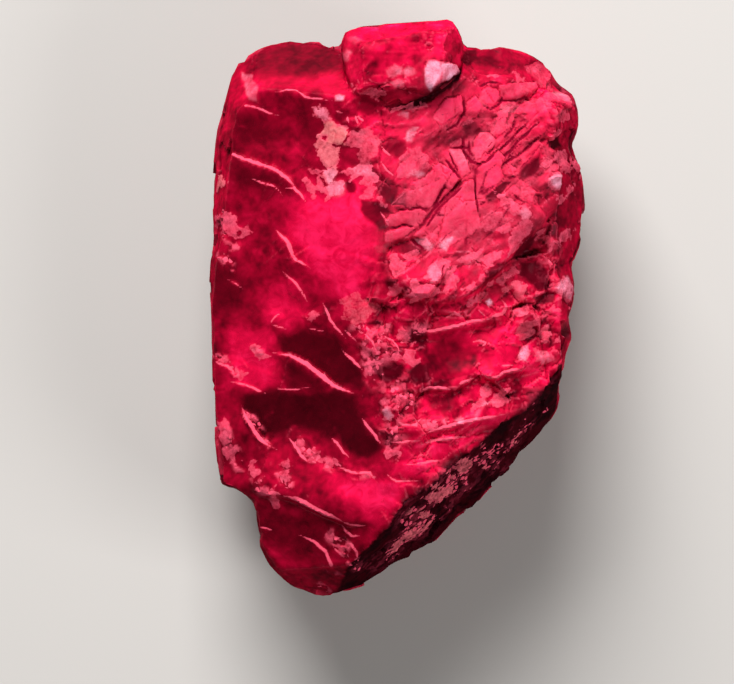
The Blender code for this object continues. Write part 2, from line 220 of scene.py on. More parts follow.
# Chipped ground: how far apart the chips are, how much they lean, and the depth and width of the notches
# between them. A region's roughness is the share of that relief it gets.
CHIP_SPACING = 2.2
CHIP_LEAN = 0.20
CHIP_NOTCH = 0.16
CHIP_BLEND = 0.45
CHIP_SEED = 11
SHARP_ANGLE = math.radians(38)  # edges sharper than this stay crisp
ROOF_SLOPE = 0.8  # how fast a chip without a notch hands over to the next
CHIP_STRAY = 0.42  # how far a chip's middle strays from its cell's, as a share of the spacing
GOLDEN_SHARE = 0.6180339887  # steps of this size give chips side by side different numbers
LEFT_FACE_ROUGHNESS = 0.08
PLATEAU_ROUGHNESS = 0.35
LEFT_SIDE_ROUGHNESS = 0.12
RIGHT_SIDE_ROUGHNESS = 0.22
RIM_ROUGHNESS = 0.15

# Calm ground, where the chips are weaker: middle, reach across and along, and how calm it is.
CALM = (
    ((0.4, 13.2), (3.6, 2.2), 0.90),
    ((5.6, 12.6), (3.2, 1.3), 0.65),
    ((-5.4, 12.6), (3.0, 1.4), 0.60),
    ((0.6, 9.6), (2.2, 2.0), 0.50),
    ((2.8, -2.2), (2.4, 1.4), 0.75),
    ((2.2, -4.9), (2.2, 0.9), 0.60),
    ((1.4, -8.4), (2.4, 1.6), 0.50),
    ((4.6, -5.6), (3.2, 1.4), 0.60),
    ((3.2, -2.3), (3.0, 1.5), 0.90),
    ((-9.8, 0.8), (1.2, 3.0), 0.90),
    ((9.9, 4.2), (1.8, 3.2), 0.95),
)

# The uneven border between the smooth left face and the chipped right one: how far it wanders off the crest,
# the size of its bays, and where the chipped ground starts and is in full.
BORDER_WANDER = 1.3
BORDER_BAYS = 2.4
BORDER_SEED = 6
BORDER_START, BORDER_END = -0.9, 1.6


# ---------------------------------------------------------------------------------------------------------
# The fine relief, in millimetres
# ---------------------------------------------------------------------------------------------------------

# Thin cleavage lips on the smooth left face and long curved ones across the right face: route, height of the
# step and how frosted the lip is. A lip's frost is partly a painted highlight along its step.
LIPS = drawn_table("""
    217,150 229,153 261,166 277,171 288,179 300,193  0.12 0.8
    252,179 266,184 276,187 284,198  0.09 0.6
    286,189 295,189 301,195 307,203  0.09 0.7
    275,93 287,90 297,92 306,98 318,100 332,103  0.08 0.6
    231,102 248,107 262,111 280,119  0.09 0.6
    275,229 282,237 290,244 298,260 313,270  0.10 0.7
    284,271 296,283 302,292 307,302  0.09 0.7
    270,352 290,355 307,363 321,375 332,386 357,394  0.14 0.9
    322,303 332,321 346,339  0.09 0.7
    340,349 353,361 363,373  0.09 0.8
    231,382 248,386 267,394  0.10 0.8
    269,388 293,390 311,387  0.05 0.35
    213,361 229,366 236,375  0.09 0.7
    241,406 249,421 262,440 277,450  0.10 0.7
    287,437 298,448 302,455 311,464  0.09 0.9
    330,437 338,444 349,457  0.08 0.6
    336,466 352,472 370,472 378,484  0.09 0.8
    283,494 300,497 315,505 326,510 346,519  0.14 2.2
    297,534 315,541 326,551 332,563 340,581  0.12 0.9
    341,523 347,530 353,535 361,535  0.08 0.7
    342,538 352,543 357,550 358,560  0.08 0.7
    333,546 338,551 344,557  0.06 0.5
    319,585 326,592  0.06 0.6
    260,527 273,530  0.06 0.5
    361,418 372,431 382,445  0.09 0.7
    270,325 274,319 281,312  0.04 0.3
    274,325 286,330  0.05 0.5
    227,280 236,284 244,290  0.04 0.2
    309,328 328,332  0.04 0.3
    345,330 352,337 357,342  0.06 0.6
    415,336 425,332 440,330 455,327 465,322 487,321  0.18 1.3
    445,319 452,313 461,318  0.10 1.0
    501,301 506,308 501,315 492,317 484,319  0.12 1.2
    484,319 476,312 472,306  0.06 0.3
    417,393 426,388 438,387 451,391  0.16 1.1
    455,385 463,381 472,378  0.16 1.1
    477,373 484,378 493,377 500,372 512,370 521,373  0.16 1.1
    495,366 511,365  0.06 0.5
    417,435 440,427 470,420 503,415  0.18 1.3
    414,445 430,441 448,438 467,436  0.16 1.0
    383,441 400,442 420,441  0.10 0.6
    395,418 402,424 412,425 420,418  0.10 0.9
    400,463 420,463 446,458  0.10 0.6
    386,474 396,480 410,479 421,480  0.08 0.6
    357,330 366,334 373,341 377,350 381,358  0.08 0.6
    380,342 385,337 394,340 398,347 396,354  0.08 0.6
    471,342 478,341 484,343 480,347  0.08 0.8
    390,207 396,200 404,192  0.05 0.6
    379,212 384,220 388,228  0.06 0.7
    380,162 386,172 395,179  0.08 0.7
    380,147 385,153 392,158  0.08 0.7
    347,119 350,126  0.05 0.6
    355,117 358,125  0.05 0.6
    358,118 364,122  0.05 0.8
    336,113 342,114  0.05 0.5
    257,489 266,493 276,492 283,494  0.12 1.6
    346,519 356,523 366,524  0.08 0.8
""")
LIP_RISER = 0.04  # half the width of a lip's riser
LIP_REACH = 0.7  # how far behind it the lip dies away
LINE_SPREAD = 0.30  # over this far from its middle a line falls to nothing; it is drawn where it is strong
LIP_WANDER = 0.07  # how far a lip strays from its route
LIP_JAG = 0.04  # and how deep the jags in it are

# Flat plates left standing where layers broke off: corners, rise, lean across and along, and waxiness.
PLATES = drawn_table("""
    391,206 403,192 410,184 424,180 434,166 440,165 450,172 459,180 449,190 444,187 440,190 436,201 430,211
        421,207 408,209  0.10 0.06 0.10 0.80
    448,151 462,151 464,162 467,172 460,179 455,168  0.10 0.04 0.06 0.95
    450,146 461,139 463,148 450,149  0.07 0.04 0.06 0.85
    474,140 480,134 488,134 494,142 490,150 482,152 478,160 473,164 471,152  0.10 0.02 0.10 0.85
    480,166 496,152 503,158 497,168 500,178 488,192 478,206 473,205 472,182 474,170  0.13 0.04 0.08 0.72
    506,160 516,154 518,160 508,164  0.06 0.05 0.05 0.75
    498,170 508,165 514,170 506,176 500,176  0.07 0.05 0.05 0.75
    505,190 510,186 516,190 513,198 507,196  0.08 0.05 0.05 0.85
    462,184 470,180 471,206 474,214 476,228 468,236 458,240 446,246 436,250 430,243 418,238 412,236 420,231
        432,216 446,201  0.13 -0.04 0.10 0.78
    387,216 404,212 418,211 426,214 418,227 403,225 396,228 388,227 384,222  0.09 -0.05 0.14 0.78
    383,234 396,231 408,228 416,229 406,236 396,240 390,243 384,242  0.07 -0.05 0.14 0.78
    424,71 427,63 440,65 454,66 458,74 442,84 430,93 425,88  0.07 0.10 0.10 0.90
    498,87 516,85 534,83 538,88 530,94 514,99 500,100  0.12 0.00 0.12 0.70
    480,93 488,88 496,90 499,98 493,106 485,105 479,100  0.10 0.06 0.06 0.62
    498,113 512,107 515,120 504,134 494,137  0.11 0.06 0.04 0.68
    431,119 445,100 459,97 462,112 451,126 438,130  0.09 0.03 0.08 0.55
    542,95 555,93 566,98 569,108 556,107 544,104  0.12 0.04 0.06 0.70
    523,67 536,63 546,72 553,84 549,90 538,82 529,75  0.11 0.08 0.04 0.66
    466,104 474,98 480,106 477,118 468,121 464,112  0.09 0.04 0.06 0.50
    516,106 530,101 548,106 545,113 528,113 518,115  0.10 0.00 0.10 0.55
""")
PLATE_EDGE = 0.07  # how wide the riser at a plate's edge is
PLATE_GROOVE, PLATE_GROOVE_WIDTH = 0.02, 0.05  # the groove around it: its depth and half its width
PLATE_FLATNESS = 0.75  # how far a plate levels the ground that it lies on
PLATE_WAX = 0.72  # how much of their waxiness the plates show
PLATEAU_WAX = 0.18  # how frosted the ground between the plates is

# Finer chips and the facets of the sides: spacing, lean, depth and width of the notches, and seed.
SMALL_CHIPS = (0.95, 0.26, 0.09, 0.16, 21)
TINY_CHIPS = (0.34, 0.34, 0.05, 0.08, 31)
SIDE_FACETS = (2.8, 0.34, 0, 0, 51)
SMALL_FACETS = (1.1, 0.36, 0, 0, 58)
SMALL_CHIP_ANGLE = 22  # the small chips run this way, and are longer along it
SMALL_CHIP_STRETCH = (0.7, 1.25, 1.0)
SWELL, RIPPLE = 0.05, 0.02  # the heights of the slight unevenness, about 2.6 mm and 0.9 mm long

# The level parting steps on the sides: how far apart they are, and how deep.
SIDE_STEP = 1.9
SIDE_STEP_DEPTH = 0.16
SIDE_RISE = 0.10  # the most that the fine relief of the sides stands out

# Short ridges on the front. For each family: the size, the reach and the seed of the noise that bends it, or
# None, the angle and the spacing of its crests, its seed, and where it lies: middles, reaches and strengths.
RIDGE_FAMILIES = {
    "folds": ((1.2, 0.35, 21), 30, 0.6, 23, (((2.6, 2.8), (3.8, 2.2), 1.0),)),
    "swirls": ((1.0, 0.45, 25), 6, 0.5, 26, (((0.8, 9.8), (3.0, 1.3), 1.0), ((6.2, 10.8), (2.4, 1.3), 0.8))),
    "bands": ((1.8, 0.30, 62), 20, 0.75, 63, (((4.4, -5.6), (3.6, 1.9), 1.0),)),
    "fibres": (None, 38, 0.28, 13, (((5.6, 8.4), (3.0, 2.6), 1.0),)),
    "streaks": (None, 3, 0.35, 27, (((0.3, 13.6), (3.0, 1.2), 1.0),)),
}
# How high these stand, the rounded lumps among them and the striae on the plateau.
RIDGE_HEIGHTS = {
    "folds": 0.12,
    "lumps": 0.10,
    "swirls": 0.08,
    "bands": 0.14,
    "fibres": 0.07,
    "striae": 0.04,
    "streaks": 0.035,
}
LONG_RIDGE_HEIGHT = 0.18
RIDGE_LENGTH = 4.5  # how many times longer than its spacing a ridge runs
RIDGE_SHARPNESS = 2.2  # more makes the crests narrower
# Crest frost is partly a painted highlight, and the glint is a painted highlight.
CREST_FROST, CREST_GLINT = 0.45, 0.5  # how frosted the ridges' crests are, and how pale some of them gleam
LUMPY = ((0.6, 8.4), (2.0, 1.6))  # where the rounded lumps are: middle and reach
PARTED = ((5.6, 8.4), (3.2, 2.8))  # where hair cracks part the plates, besides on the plateau

# Open cracks: route, depth and half width.
CRACKS = drawn_table("""
    390,209 400,212 420,209 430,212  0.09 0.06
    418,229 430,214 440,203 450,192 460,181  0.08 0.06
    423,230 436,212 448,200 462,185  0.08 0.04
    431,211 436,202 440,192 444,187  0.10 0.08
    384,228 395,229 403,226 418,229  0.08 0.05
    410,233 418,230  0.06 0.05
    409,237 418,246 427,253  0.14 0.09
    448,150 463,149 472,150  0.07 0.05
    463,137 462,152 468,163 476,167 484,163 494,153  0.09 0.06
    468,140 468,152 472,161  0.08 0.05
    481,159 494,148  0.07 0.04
    443,158 450,170 456,178 461,182  0.09 0.06
    448,151 452,164 458,177  0.08 0.05
    471,168 471,190 473,208 475,216  0.05 0.03
    494,153 503,148 510,140 520,130 530,122  0.07 0.05
    497,158 508,153 514,146 526,134 541,121  0.08 0.05
    496,169 503,163 511,159 520,154 530,146 541,135  0.09 0.06
    504,160 514,152  0.06 0.04
    500,178 507,179 515,176  0.08 0.05
    473,208 483,202  0.12 0.07
    506,192 514,200 521,206  0.10 0.07
    431,168 433,178  0.06 0.05
    443,262 438,270 435,283  0.06 0.05
    497,102 515,101 532,96 540,90  0.10 0.06
    479,106 490,110 500,104 503,92  0.08 0.05
    500,84 488,84 478,89  0.07 0.05
    516,121 510,132 500,141  0.09 0.06
    462,96 464,112 456,126 442,133  0.08 0.05
    549,92 538,85 528,77  0.08 0.05
""")

# Drusy ground, a crust of tiny crystals: middle, reach across and along, and strength.
GRAINS = (
    ((-1.2, -2.4), (0.8, 1.6), 1.0),
    ((0.0, -4.6), (1.0, 1.2), 0.9),
    ((-0.2, -6.4), (0.7, 1.2), 0.7),
    ((7.9, 2.4), (1.0, 2.0), 0.5),
    ((7.8, 7.4), (1.0, 1.8), 0.5),
    ((3.0, -9.0), (1.5, 1.0), 0.75),
    ((5.0, -8.2), (1.2, 0.9), 0.55),
    ((0.9, -11.2), (1.2, 1.2), 0.75),
    ((-1.2, -13.4), (1.0, 0.8), 0.50),
    ((7.2, -4.8), (1.0, 1.0), 0.5),
)

# Crumbly stretches, where small flakes cling along a broken line: route and how far they spread.
CRUMBS = (
    (mm("-5.7,-6.4 -5.2,-6.9 -4.6,-7.6 -3.3,-8.2"), 0.32),
    (mm("-3.1,-8.2 -2.2,-8.6 -1.3,-8.6"), 0.25),
    (mm("-7.9,-5.3 -7.1,-6.5 -6.3,-7.3"), 0.28),
    (mm("-6.3,-8.1 -5.9,-8.6 -5.6,-9.1"), 0.30),
    (mm("-7.6,-8.2 -7.4,-8.6 -7.2,-8.9"), 0.35),
    (mm("-9,-6.4 -8.7,-7 -8.2,-8.2"), 0.38),
    (mm("-7.2,-9.4 -6.3,-9.7"), 0.30),
    (mm("-5.1,-9.7 -4.3,-10.1"), 0.30),
    (mm("-3.4,-11.8 -2.7,-12.4 -2.1,-13.4"), 0.40),
    (mm("-3.5,-13.7 -2.9,-14.1"), 0.25),
    (mm("-4.1,-14.4 -3.7,-14.8"), 0.25),
    (mm("-2.4,-0.9 -0.7,-1.1 1.3,-1"), 0.40),
    (mm("-9.5,-2.4 -9,-2.6 -8.3,-3.4"), 0.22),
    (mm("-7.6,-2.1 -6.7,-2.5"), 0.22),
    (mm("1.3,-6 2.2,-5.9 3.2,-5.7"), 0.28),
    (mm("-9.4,4.6 -8.9,4 -8.5,3.3"), 0.35),
    (mm("-9.2,2.8 -8.6,2.2"), 0.25),
    (mm("6.6,-6.2 7.6,-5.3"), 0.35),
    (grid("392,556 408,538 426,521 444,503"), 0.55),
    (grid("446,492 462,474 480,462 498,452"), 0.60),
    (grid("500,452 512,440 522,430"), 0.45),
)

# Waxy crust that clings in torn sheets: corners, how thick and how frosted it is, and how buff its stain is.
CRUST = drawn_table("""
    322,126 330,123 340,127 347,132 349,138 345,146 336,147 328,143 322,136  0.04 0.80 1.0
    318,138 326,142 336,147 342,152 340,162 335,169 326,169 320,163 316,150  0.04 0.85 0.6
    312,110 319,108 326,111 330,118 332,124 326,127 320,121 315,118  0.03 0.75 0.1
    323,171 334,169 338,174 334,184 329,187 323,178  0.03 0.90 0.3
    307,170 316,169 321,171 327,179 321,176 313,178 309,176  0.03 0.70 0.0
    305,179 311,183 318,189 314,199 309,191  0.03 0.60 0.0
    317,178 323,184 326,195 319,190  0.03 0.70 0.0
    327,186 336,181 346,184 346,195 338,198 330,200 326,197  0.03 0.80 0.0
    345,137 356,132 364,129 372,132 379,140 380,152 376,160 368,165 361,166 357,158 358,149 350,146 343,147
        0.03 0.55 0.1
    344,173 357,166 368,166 376,176 379,182 371,184 365,180 361,176 356,178 350,181 345,180  0.03 0.85 0.0
    361,182 370,184 375,190 371,196 380,200 385,208 377,206 370,200 362,198 366,192  0.03 0.70 0.0
    402,160 406,148 416,150 424,155 428,166 422,172 410,178 395,180 398,170  0.03 0.60 0.0
    348,84 360,88 372,93 384,94 380,104 366,98 354,92  0.03 0.55 0.0
    392,112 400,107 412,107 424,104 427,108 410,112 396,114  0.04 0.65 0.0
    430,115 440,113 452,118 470,116 474,122 462,128 440,132 424,138 436,126  0.03 0.45 0.0
    466,108 474,100 482,98 486,108 478,114 470,117  0.03 0.50 0.0
    500,90 516,86 528,82 537,84 530,92 518,98 503,98  0.04 0.55 0.0
    487,78 496,75 500,78 494,81  0.03 0.50 0.0
    508,78 513,75 518,80 524,82 516,84  0.03 0.55 0.0
    525,68 536,66 546,78 556,88 550,92 540,84 532,76  0.03 0.45 0.0
    553,116 560,112 569,110 570,120 558,123  0.03 0.55 0.0
    520,103 535,98 548,98 556,104 546,108 530,108  0.03 0.50 0.0
    500,105 512,104 522,108 516,116 506,120 498,116  0.03 0.55 0.0
    484,124 494,118 506,116 512,124 500,134 492,136 488,130  0.03 0.55 0.0
    546,138 551,131 557,129 557,135 551,141  0.03 0.60 0.0
    537,167 541,158 548,158 550,165 554,171 543,171  0.04 0.70 0.0
    553,160 557,150 564,150 567,163 569,171 558,172 554,166  0.04 0.65 0.0
    543,180 551,175 558,178 557,188 551,192 546,187  0.05 0.80 0.0
    551,196 558,196 569,194 562,202 558,207 554,202  0.03 0.75 0.0
    564,187 572,186 575,192 567,194  0.03 0.65 0.0
    542,240 561,241 558,250 554,244 550,252 547,244  0.03 0.80 0.0
    530,237 536,232 542,230 539,238 533,241  0.03 0.65 0.0
    561,233 568,227 574,231 571,239 563,241  0.03 0.60 0.0
    492,198 500,193 506,200 515,208 507,215 500,212  0.04 0.75 0.0
    511,212 518,208 524,213 527,228 520,241 512,251 503,258 501,246 506,234 512,224  0.05 0.75 0.0
    514,186 524,184 530,192 528,204 518,206 512,196  0.03 0.45 0.0
    476,218 488,211 496,215 505,222 505,231 490,233 478,231 472,224  0.03 0.60 0.0
    388,258 395,256 400,262 408,264 406,270 400,276 390,279 388,270  0.04 0.60 0.0
    402,256 408,252 416,247 421,254 415,262 409,264  0.03 0.55 0.0
    429,262 440,257 448,262 453,272 448,276 440,274 436,283 428,284 417,281 424,272 427,266  0.06 0.75 0.0
    440,277 447,274 456,280 453,288 445,297 438,295 440,286  0.06 0.75 0.0
    456,263 462,257 478,249 481,257 500,252 492,262 484,267 478,264 470,261 462,265  0.06 0.72 0.0
    400,282 412,281 418,286 436,287 438,296 424,300 408,303 401,297 406,292  0.06 0.72 0.0
    386,289 395,288 397,294 391,299 386,296  0.04 0.65 0.0
    455,291 466,284 476,272 483,267 479,278 472,287 462,292  0.05 0.70 0.0
    481,239 488,235 491,245 484,246  0.03 0.50 0.0
    494,283 500,275 508,270 518,267 519,274 508,278 500,285  0.04 0.75 0.0
    464,303 472,298 485,289 486,295 478,304 470,310 465,309  0.05 0.75 0.0
    486,285 491,280 491,288 487,289  0.03 0.65 0.0
    501,288 510,285 517,281 525,286 527,296 518,301 512,297 513,291 504,292  0.04 0.60 0.2
    512,312 524,307 528,312 520,317 513,319  0.04 0.65 0.0
    528,318 534,312 540,317 538,327 531,328  0.04 0.70 0.0
    540,319 546,310 552,307 558,311 549,316  0.04 0.65 0.0
    513,321 520,321 531,327 534,335 527,340 517,338 515,330  0.04 0.65 0.1
    534,331 545,325 551,332 545,343 538,339  0.04 0.65 0.1
    549,347 556,339 569,336 561,344  0.03 0.65 0.0
    514,360 517,350 524,346 528,355 523,364  0.04 0.70 0.0
    532,351 545,351 551,361 541,367 534,361  0.04 0.60 0.0
    553,292 560,280 568,277 571,290 569,303 560,298  0.03 0.55 0.0
    468,411 474,402 480,389 485,385 490,392 485,400 479,406 474,413  0.05 0.78 0.0
    484,405 490,396 499,389 507,389 509,400 500,407 488,409  0.05 0.75 0.0
    423,424 434,420 437,428 429,432 424,430  0.04 0.80 0.0
    381,411 387,407 393,415 389,422 384,419  0.04 0.90 0.0
    361,365 369,360 375,364 366,370  0.03 0.75 0.0
    401,358 408,349 414,351 419,362 412,367 405,363  0.04 0.65 0.0
    385,361 396,353 401,357 392,362  0.03 0.60 0.0
    394,337 402,332 411,334 413,342 406,344 404,339  0.03 0.65 0.0
    382,453 388,449 393,455 386,459  0.03 0.75 0.0
    395,452 401,454 397,459  0.03 0.65 0.0
    455,469 462,459 471,460 472,471 463,476  0.04 0.72 0.5
    423,500 432,493 445,489 456,485 450,494 436,501  0.04 0.72 0.5
    430,485 439,483 436,490  0.03 0.72 0.5
    388,558 394,544 404,533 413,529 415,536 404,544 397,553  0.04 0.72 0.5
    414,525 431,520 427,528  0.03 0.72 0.5
    416,513 425,509 431,515 421,518  0.03 0.72 0.5
    217,424 225,419 231,430 234,440 225,443 218,436  0.04 0.55 0.0
    221,450 230,444 239,450 236,457 243,462 232,461 224,458  0.04 0.65 0.0
    248,466 256,462 261,470 263,478 256,481 251,474  0.03 0.60 0.0
    257,488 268,489 278,486 277,494 280,505 276,510 270,498  0.04 0.65 0.0
    213,220 222,212 230,213 237,221 240,230 236,237 226,233 218,229  0.04 0.65 0.0
    239,231 248,227 251,234 243,237  0.03 0.55 0.0
    249,346 256,343 263,352 269,357 262,360 255,354  0.03 0.75 0.0
    234,377 240,368 245,374 242,380  0.03 0.65 0.0
    212,184 218,175 225,179 224,188 216,190  0.04 0.65 0.6
    306,319 314,311 318,317 311,324  0.02 0.50 0.0
    299,453 309,447 318,452 323,461 310,458  0.03 0.60 0.0
    327,459 333,455 339,462 330,464  0.03 0.60 0.0
    279,465 288,461 292,468 284,469  0.03 0.50 0.0
    277,473 286,469 293,477 284,481  0.03 0.50 0.0
    340,300 352,294 372,299 378,312 366,322 352,326 343,316  0.01 0.35 0.3
""")

# Small flakes on the dark side: corners on the grid, drawn larger than they are, and how thick each is.
FLAKE_SIZE = 0.72  # their true size as a share of the drawn one
FLAKES = drawn_table("""
    456,463 461,461 470,462 471,467 466,472 458,472 455,468  0.05
    434,487 440,484 446,486 452,489 455,494 449,497 441,494 435,492  0.05
    424,497 430,494 437,496 444,500 440,503 431,502 425,501  0.05
    406,512 411,509 417,510 415,516 409,518 405,516  0.05
    391,556 395,546 402,537 410,529 415,527 413,533 406,541 399,550 394,557  0.06
    400,541 407,535 416,529 425,526 431,526 426,531 416,536 406,542  0.05
    478,443 482,442 483,446 479,447  0.03
    481,467 486,465 487,470 482,470  0.03
    503,452 508,450 509,455 504,456  0.03
    513,433 519,431 522,435 516,438  0.04
    511,441 516,439 518,443 513,444  0.03
    446,474 452,472 455,477 449,480  0.04
""", FLAKE_SIZE)
FLAKE_WAX, FLAKE_STAIN = 0.72, 0.5
CRUST_EDGE = 0.10  # how far in from its outline the crust has its full thickness
CRUST_SPREAD = 0.40  # over this far across its outline the crust's mark goes from nothing to full
CRUST_TEAR = 0.08  # how far a torn edge strays from its outline
CRUST_GRAIN = 0.04  # the height of the grain on it
CRUMB_HEIGHT = 0.05  # how far the crumbs of the drusy ground stand out

# Ground with patches of the same crust left on it: middle, reach across and along, and how much is covered.
PATCHED = (
    ((8.4, 1.2), (1.4, 3.4), 0.40),
    ((8.8, 7.6), (1.2, 4.0), 0.40),
    ((5.0, 11.6), (3.0, 1.0), 0.25),
    ((5.0, -2.6), (2.4, 1.2), 0.20),
)
PATCH_THICKNESS = 0.07  # how thick these patches are

# Painted highlights: pale faces with a violet sheen, where faces would mirror the light. Corners and
# strength.
PAINTED_HIGHLIGHTS = (
    *drawn_table("""
    440,66 452,66 458,72 451,80 440,84  0.95
    424,72 427,63 438,64 441,72 437,82 430,93 425,88  0.75
    334,97 339,95 345,98 344,102 336,103  1.00
    388,72 394,66 402,70 400,78 392,80  0.55
    341,57 346,50 352,54 350,62 344,62  0.40
    346,40 356,37 363,44 354,48  0.25
    406,142 405,134 411,129 417,129 414,136 410,143  0.85
    407,176 412,171 420,173 425,176 416,179  0.60
    327,186 336,181 346,184 346,195 338,198 330,198  0.30
    323,171 334,169 338,174 334,184 329,185  0.35
    312,110 319,108 326,111 330,118 326,122 318,118  0.30
    350,172 358,167 368,167 374,178 364,176 352,178  0.25
    484,302 489,299 492,304 487,308  0.90
    544,181 551,176 557,180 556,187 550,191  0.80
    547,95 558,89 568,89 574,98 570,105 560,103  0.50
    554,288 560,280 568,277 571,290 569,303 560,298  0.50
    515,357 518,349 524,346 527,356 521,363  0.60
    534,353 546,353 549,362 540,366  0.35
    438,247 443,240 453,237 448,246 443,252  0.75
    413,239 424,238 434,246 428,252 421,247  0.60
    451,420 457,416 460,421 454,424  0.80
    424,272 432,266 438,274 434,284 424,283  0.35
    381,411 387,407 393,415 389,422  0.50
    513,214 519,209 525,214 522,222 515,222  0.25
    478,136 484,133 490,137 486,143 479,142  0.25
    448,151 462,151 465,164 460,172  0.15
    500,106 512,104 520,108 514,114 504,116  0.25
    240,72 250,76 258,88 256,102 248,100 244,86  0.45
    385,71 391,68 397,69 399,74 393,78 387,77  0.45
    402,72 409,69 415,71 416,77 408,80 403,78  0.40
    388,84 396,82 404,85 402,90 394,91  0.35
    """),
    (mm("-0.03,10 0.23,10.3 0.6,10.2 0.5,9.9"), 0.60),
)
PAINTED_HIGHLIGHT_EDGE = 0.08  # how soft their rims are

# Clear windows, where the crystal can be seen into: corners, softness of the rim and how clear they are.
WINDOWS = (
    (
        mm(
            "-6.2,-1.6 -5.9,-1.4 -4.8,-1.1 -3.5,-1.3 -3.1,-1.6 -2.4,-2.5 -1.9,-3.3 -1.6,-3.9 -1.9,-4.2 "
            "-3.5,-3.9 -4.2,-3.2 -4.9,-2.7 -5.9,-2.3"
        ),
        0.25, 0.78,
    ),
    (
        mm(
            "-8.1,-4.5 -5.9,-4.3 -3.5,-4.2 -2,-4.4 -1.8,-5.3 -1.4,-6.4 -0.9,-7.1 -1.3,-7.7 -2.4,-7.6 "
            "-3.5,-6.7 -4.6,-6.3 -5.7,-6.3 -6.4,-6.8 -7.1,-6.8 -7.6,-6.3 -8.2,-5.3"
        ),
        0.28, 0.88,
    ),
    (mm("-6,-2.6 -5,-3 -4.2,-3.6 -3.6,-4.1 -5.6,-4.1"), 0.4, 0.65),
    (mm("-9.9,2.4 -8.6,2.4 -8,1.2 -8.2,0.2 -9.9,-0.2"), 0.7, 0.6),
    (mm("-8.8,10.1 -7,9.7 -6,9.2 -6.3,8.3 -8.8,8.7"), 0.7, 0.6),
    (mm("-8.6,7.5 -6.6,7 -5.1,6 -5.1,5.8 -6.6,6.2 -8.4,6.5"), 0.6, 0.65),
    (mm("-5.6,10.3 -4.4,10.2 -4,9.2 -4.8,8.8"), 0.8, 0.5),
    (mm("-7.4,-10.4 -4,-11.2 -3.4,-12.6 -5.4,-13.2 -7.4,-12"), 0.8, 0.45),
)

# Deep and shaded ground, where the stone is milky but dark: its deeper red, and painted shade in hollows,
# gaps and troughs, under plate edges and on the upper bevels. Corners, softness of the rim and how deep its
# red is.
# A patch with a rim crisper than CRISP_RIM comes out deeper than this, and more so with a higher CRISP_DEPTH.
DEEP_AND_SHADED_GROUND = drawn_table("""
    349,130 356,128 366,134 362,138 352,137  0.08 0.60
    386,140 396,138 404,146 403,156 396,160 388,154 384,148  0.15 0.60
    362,168 370,166 380,176 392,182 398,188 392,206 384,205 378,196 374,184 366,174  0.10 0.60
    362,201 376,203 386,208 390,214 380,214 386,230 378,232 370,222 362,212  0.10 0.72
    345,182 352,180 357,186 356,194 350,194 346,188  0.08 0.75
    418,142 440,135 462,130 470,136 458,146 446,148 424,146  0.12 0.42
    462,128 466,120 476,124 482,132 474,138 466,138  0.10 0.65
    482,197 490,190 500,183 507,184 500,192 492,200 484,204  0.05 0.95
    515,175 522,166 536,158 540,150 538,168 532,178 518,180  0.15 0.80
    546,143 552,140 560,135 563,146 556,150  0.08 0.98
    528,232 535,240 530,256 520,262 505,262 512,252 520,242  0.15 0.60
    521,262 540,262 548,276 546,288 536,292 528,284 520,276  0.20 0.92
    380,302 400,304 440,301 462,296 470,300 458,308 440,314 420,322 400,322 386,314  0.25 0.10
    440,336 462,338 470,350 464,368 448,378 430,380 424,366 430,350  0.50 0.62
    405,372 418,364 430,366 428,378 412,384  0.15 0.90
    378,365 392,362 404,366 400,378 386,384 378,376  0.15 0.80
    425,398 450,396 458,404 448,412 430,412  0.20 0.65
    400,394 420,394 424,404 412,414 402,410  0.30 0.30
    480,430 500,422 510,430 500,444 484,440  0.20 0.60
    380,432 420,430 415,438 390,440  0.15 0.40
    505,384 515,378 522,390 512,398  0.10 0.55
    532,298 547,292 556,292 552,304 536,304  0.10 0.70
    552,222 566,218 568,226 556,230  0.10 0.50
    478,232 500,233 500,240 482,241  0.12 0.35
    462,296 478,282 486,268 500,262 512,264 500,270 488,282 470,294  0.12 0.60
    382,246 400,238 412,245 425,255 412,255 392,253  0.12 0.45
    412,284 424,283 440,285 430,288 418,288  0.06 0.50
    365,56 390,52 415,54 420,62 400,66 385,64  0.25 0.30
    459,62 464,51 476,49 478,58 468,67  0.10 0.80
    350,104 356,95 366,100 380,106 384,116 370,118 358,112  0.15 0.50
    340,128 332,116 344,110 352,116 348,124  0.10 0.35
    240,68 262,44 345,44 345,68 310,78 244,78  0.30 0.50
    466,43 534,51 558,74 532,75 486,68 466,64  0.35 0.42
    522,392 547,390 555,413 528,413  0.40 0.90
    383,248 376,262 383,278 390,270 386,256  0.12 0.40
    229,114 285,90 327,99 323,112 280,111 232,128  0.50 0.30
""")
CRISP_RIM, CRISP_DEPTH = 0.20, 1.5

# Broken ground with painted shade in the gaps between its pieces: middle, reach across and along, and how
# dark the shade is.
SHADED_GAPS = (
    ((8.2, 7.4), (1.3, 2.6), 0.55),
    ((7.6, 3.2), (1.6, 2.4), 0.50),
    ((7.6, -0.8), (1.6, 1.6), 0.50),
    ((-0.8, -3.4), (1.4, 2.6), 0.70),
    ((6.6, -4.4), (1.6, 1.0), 0.50),
)

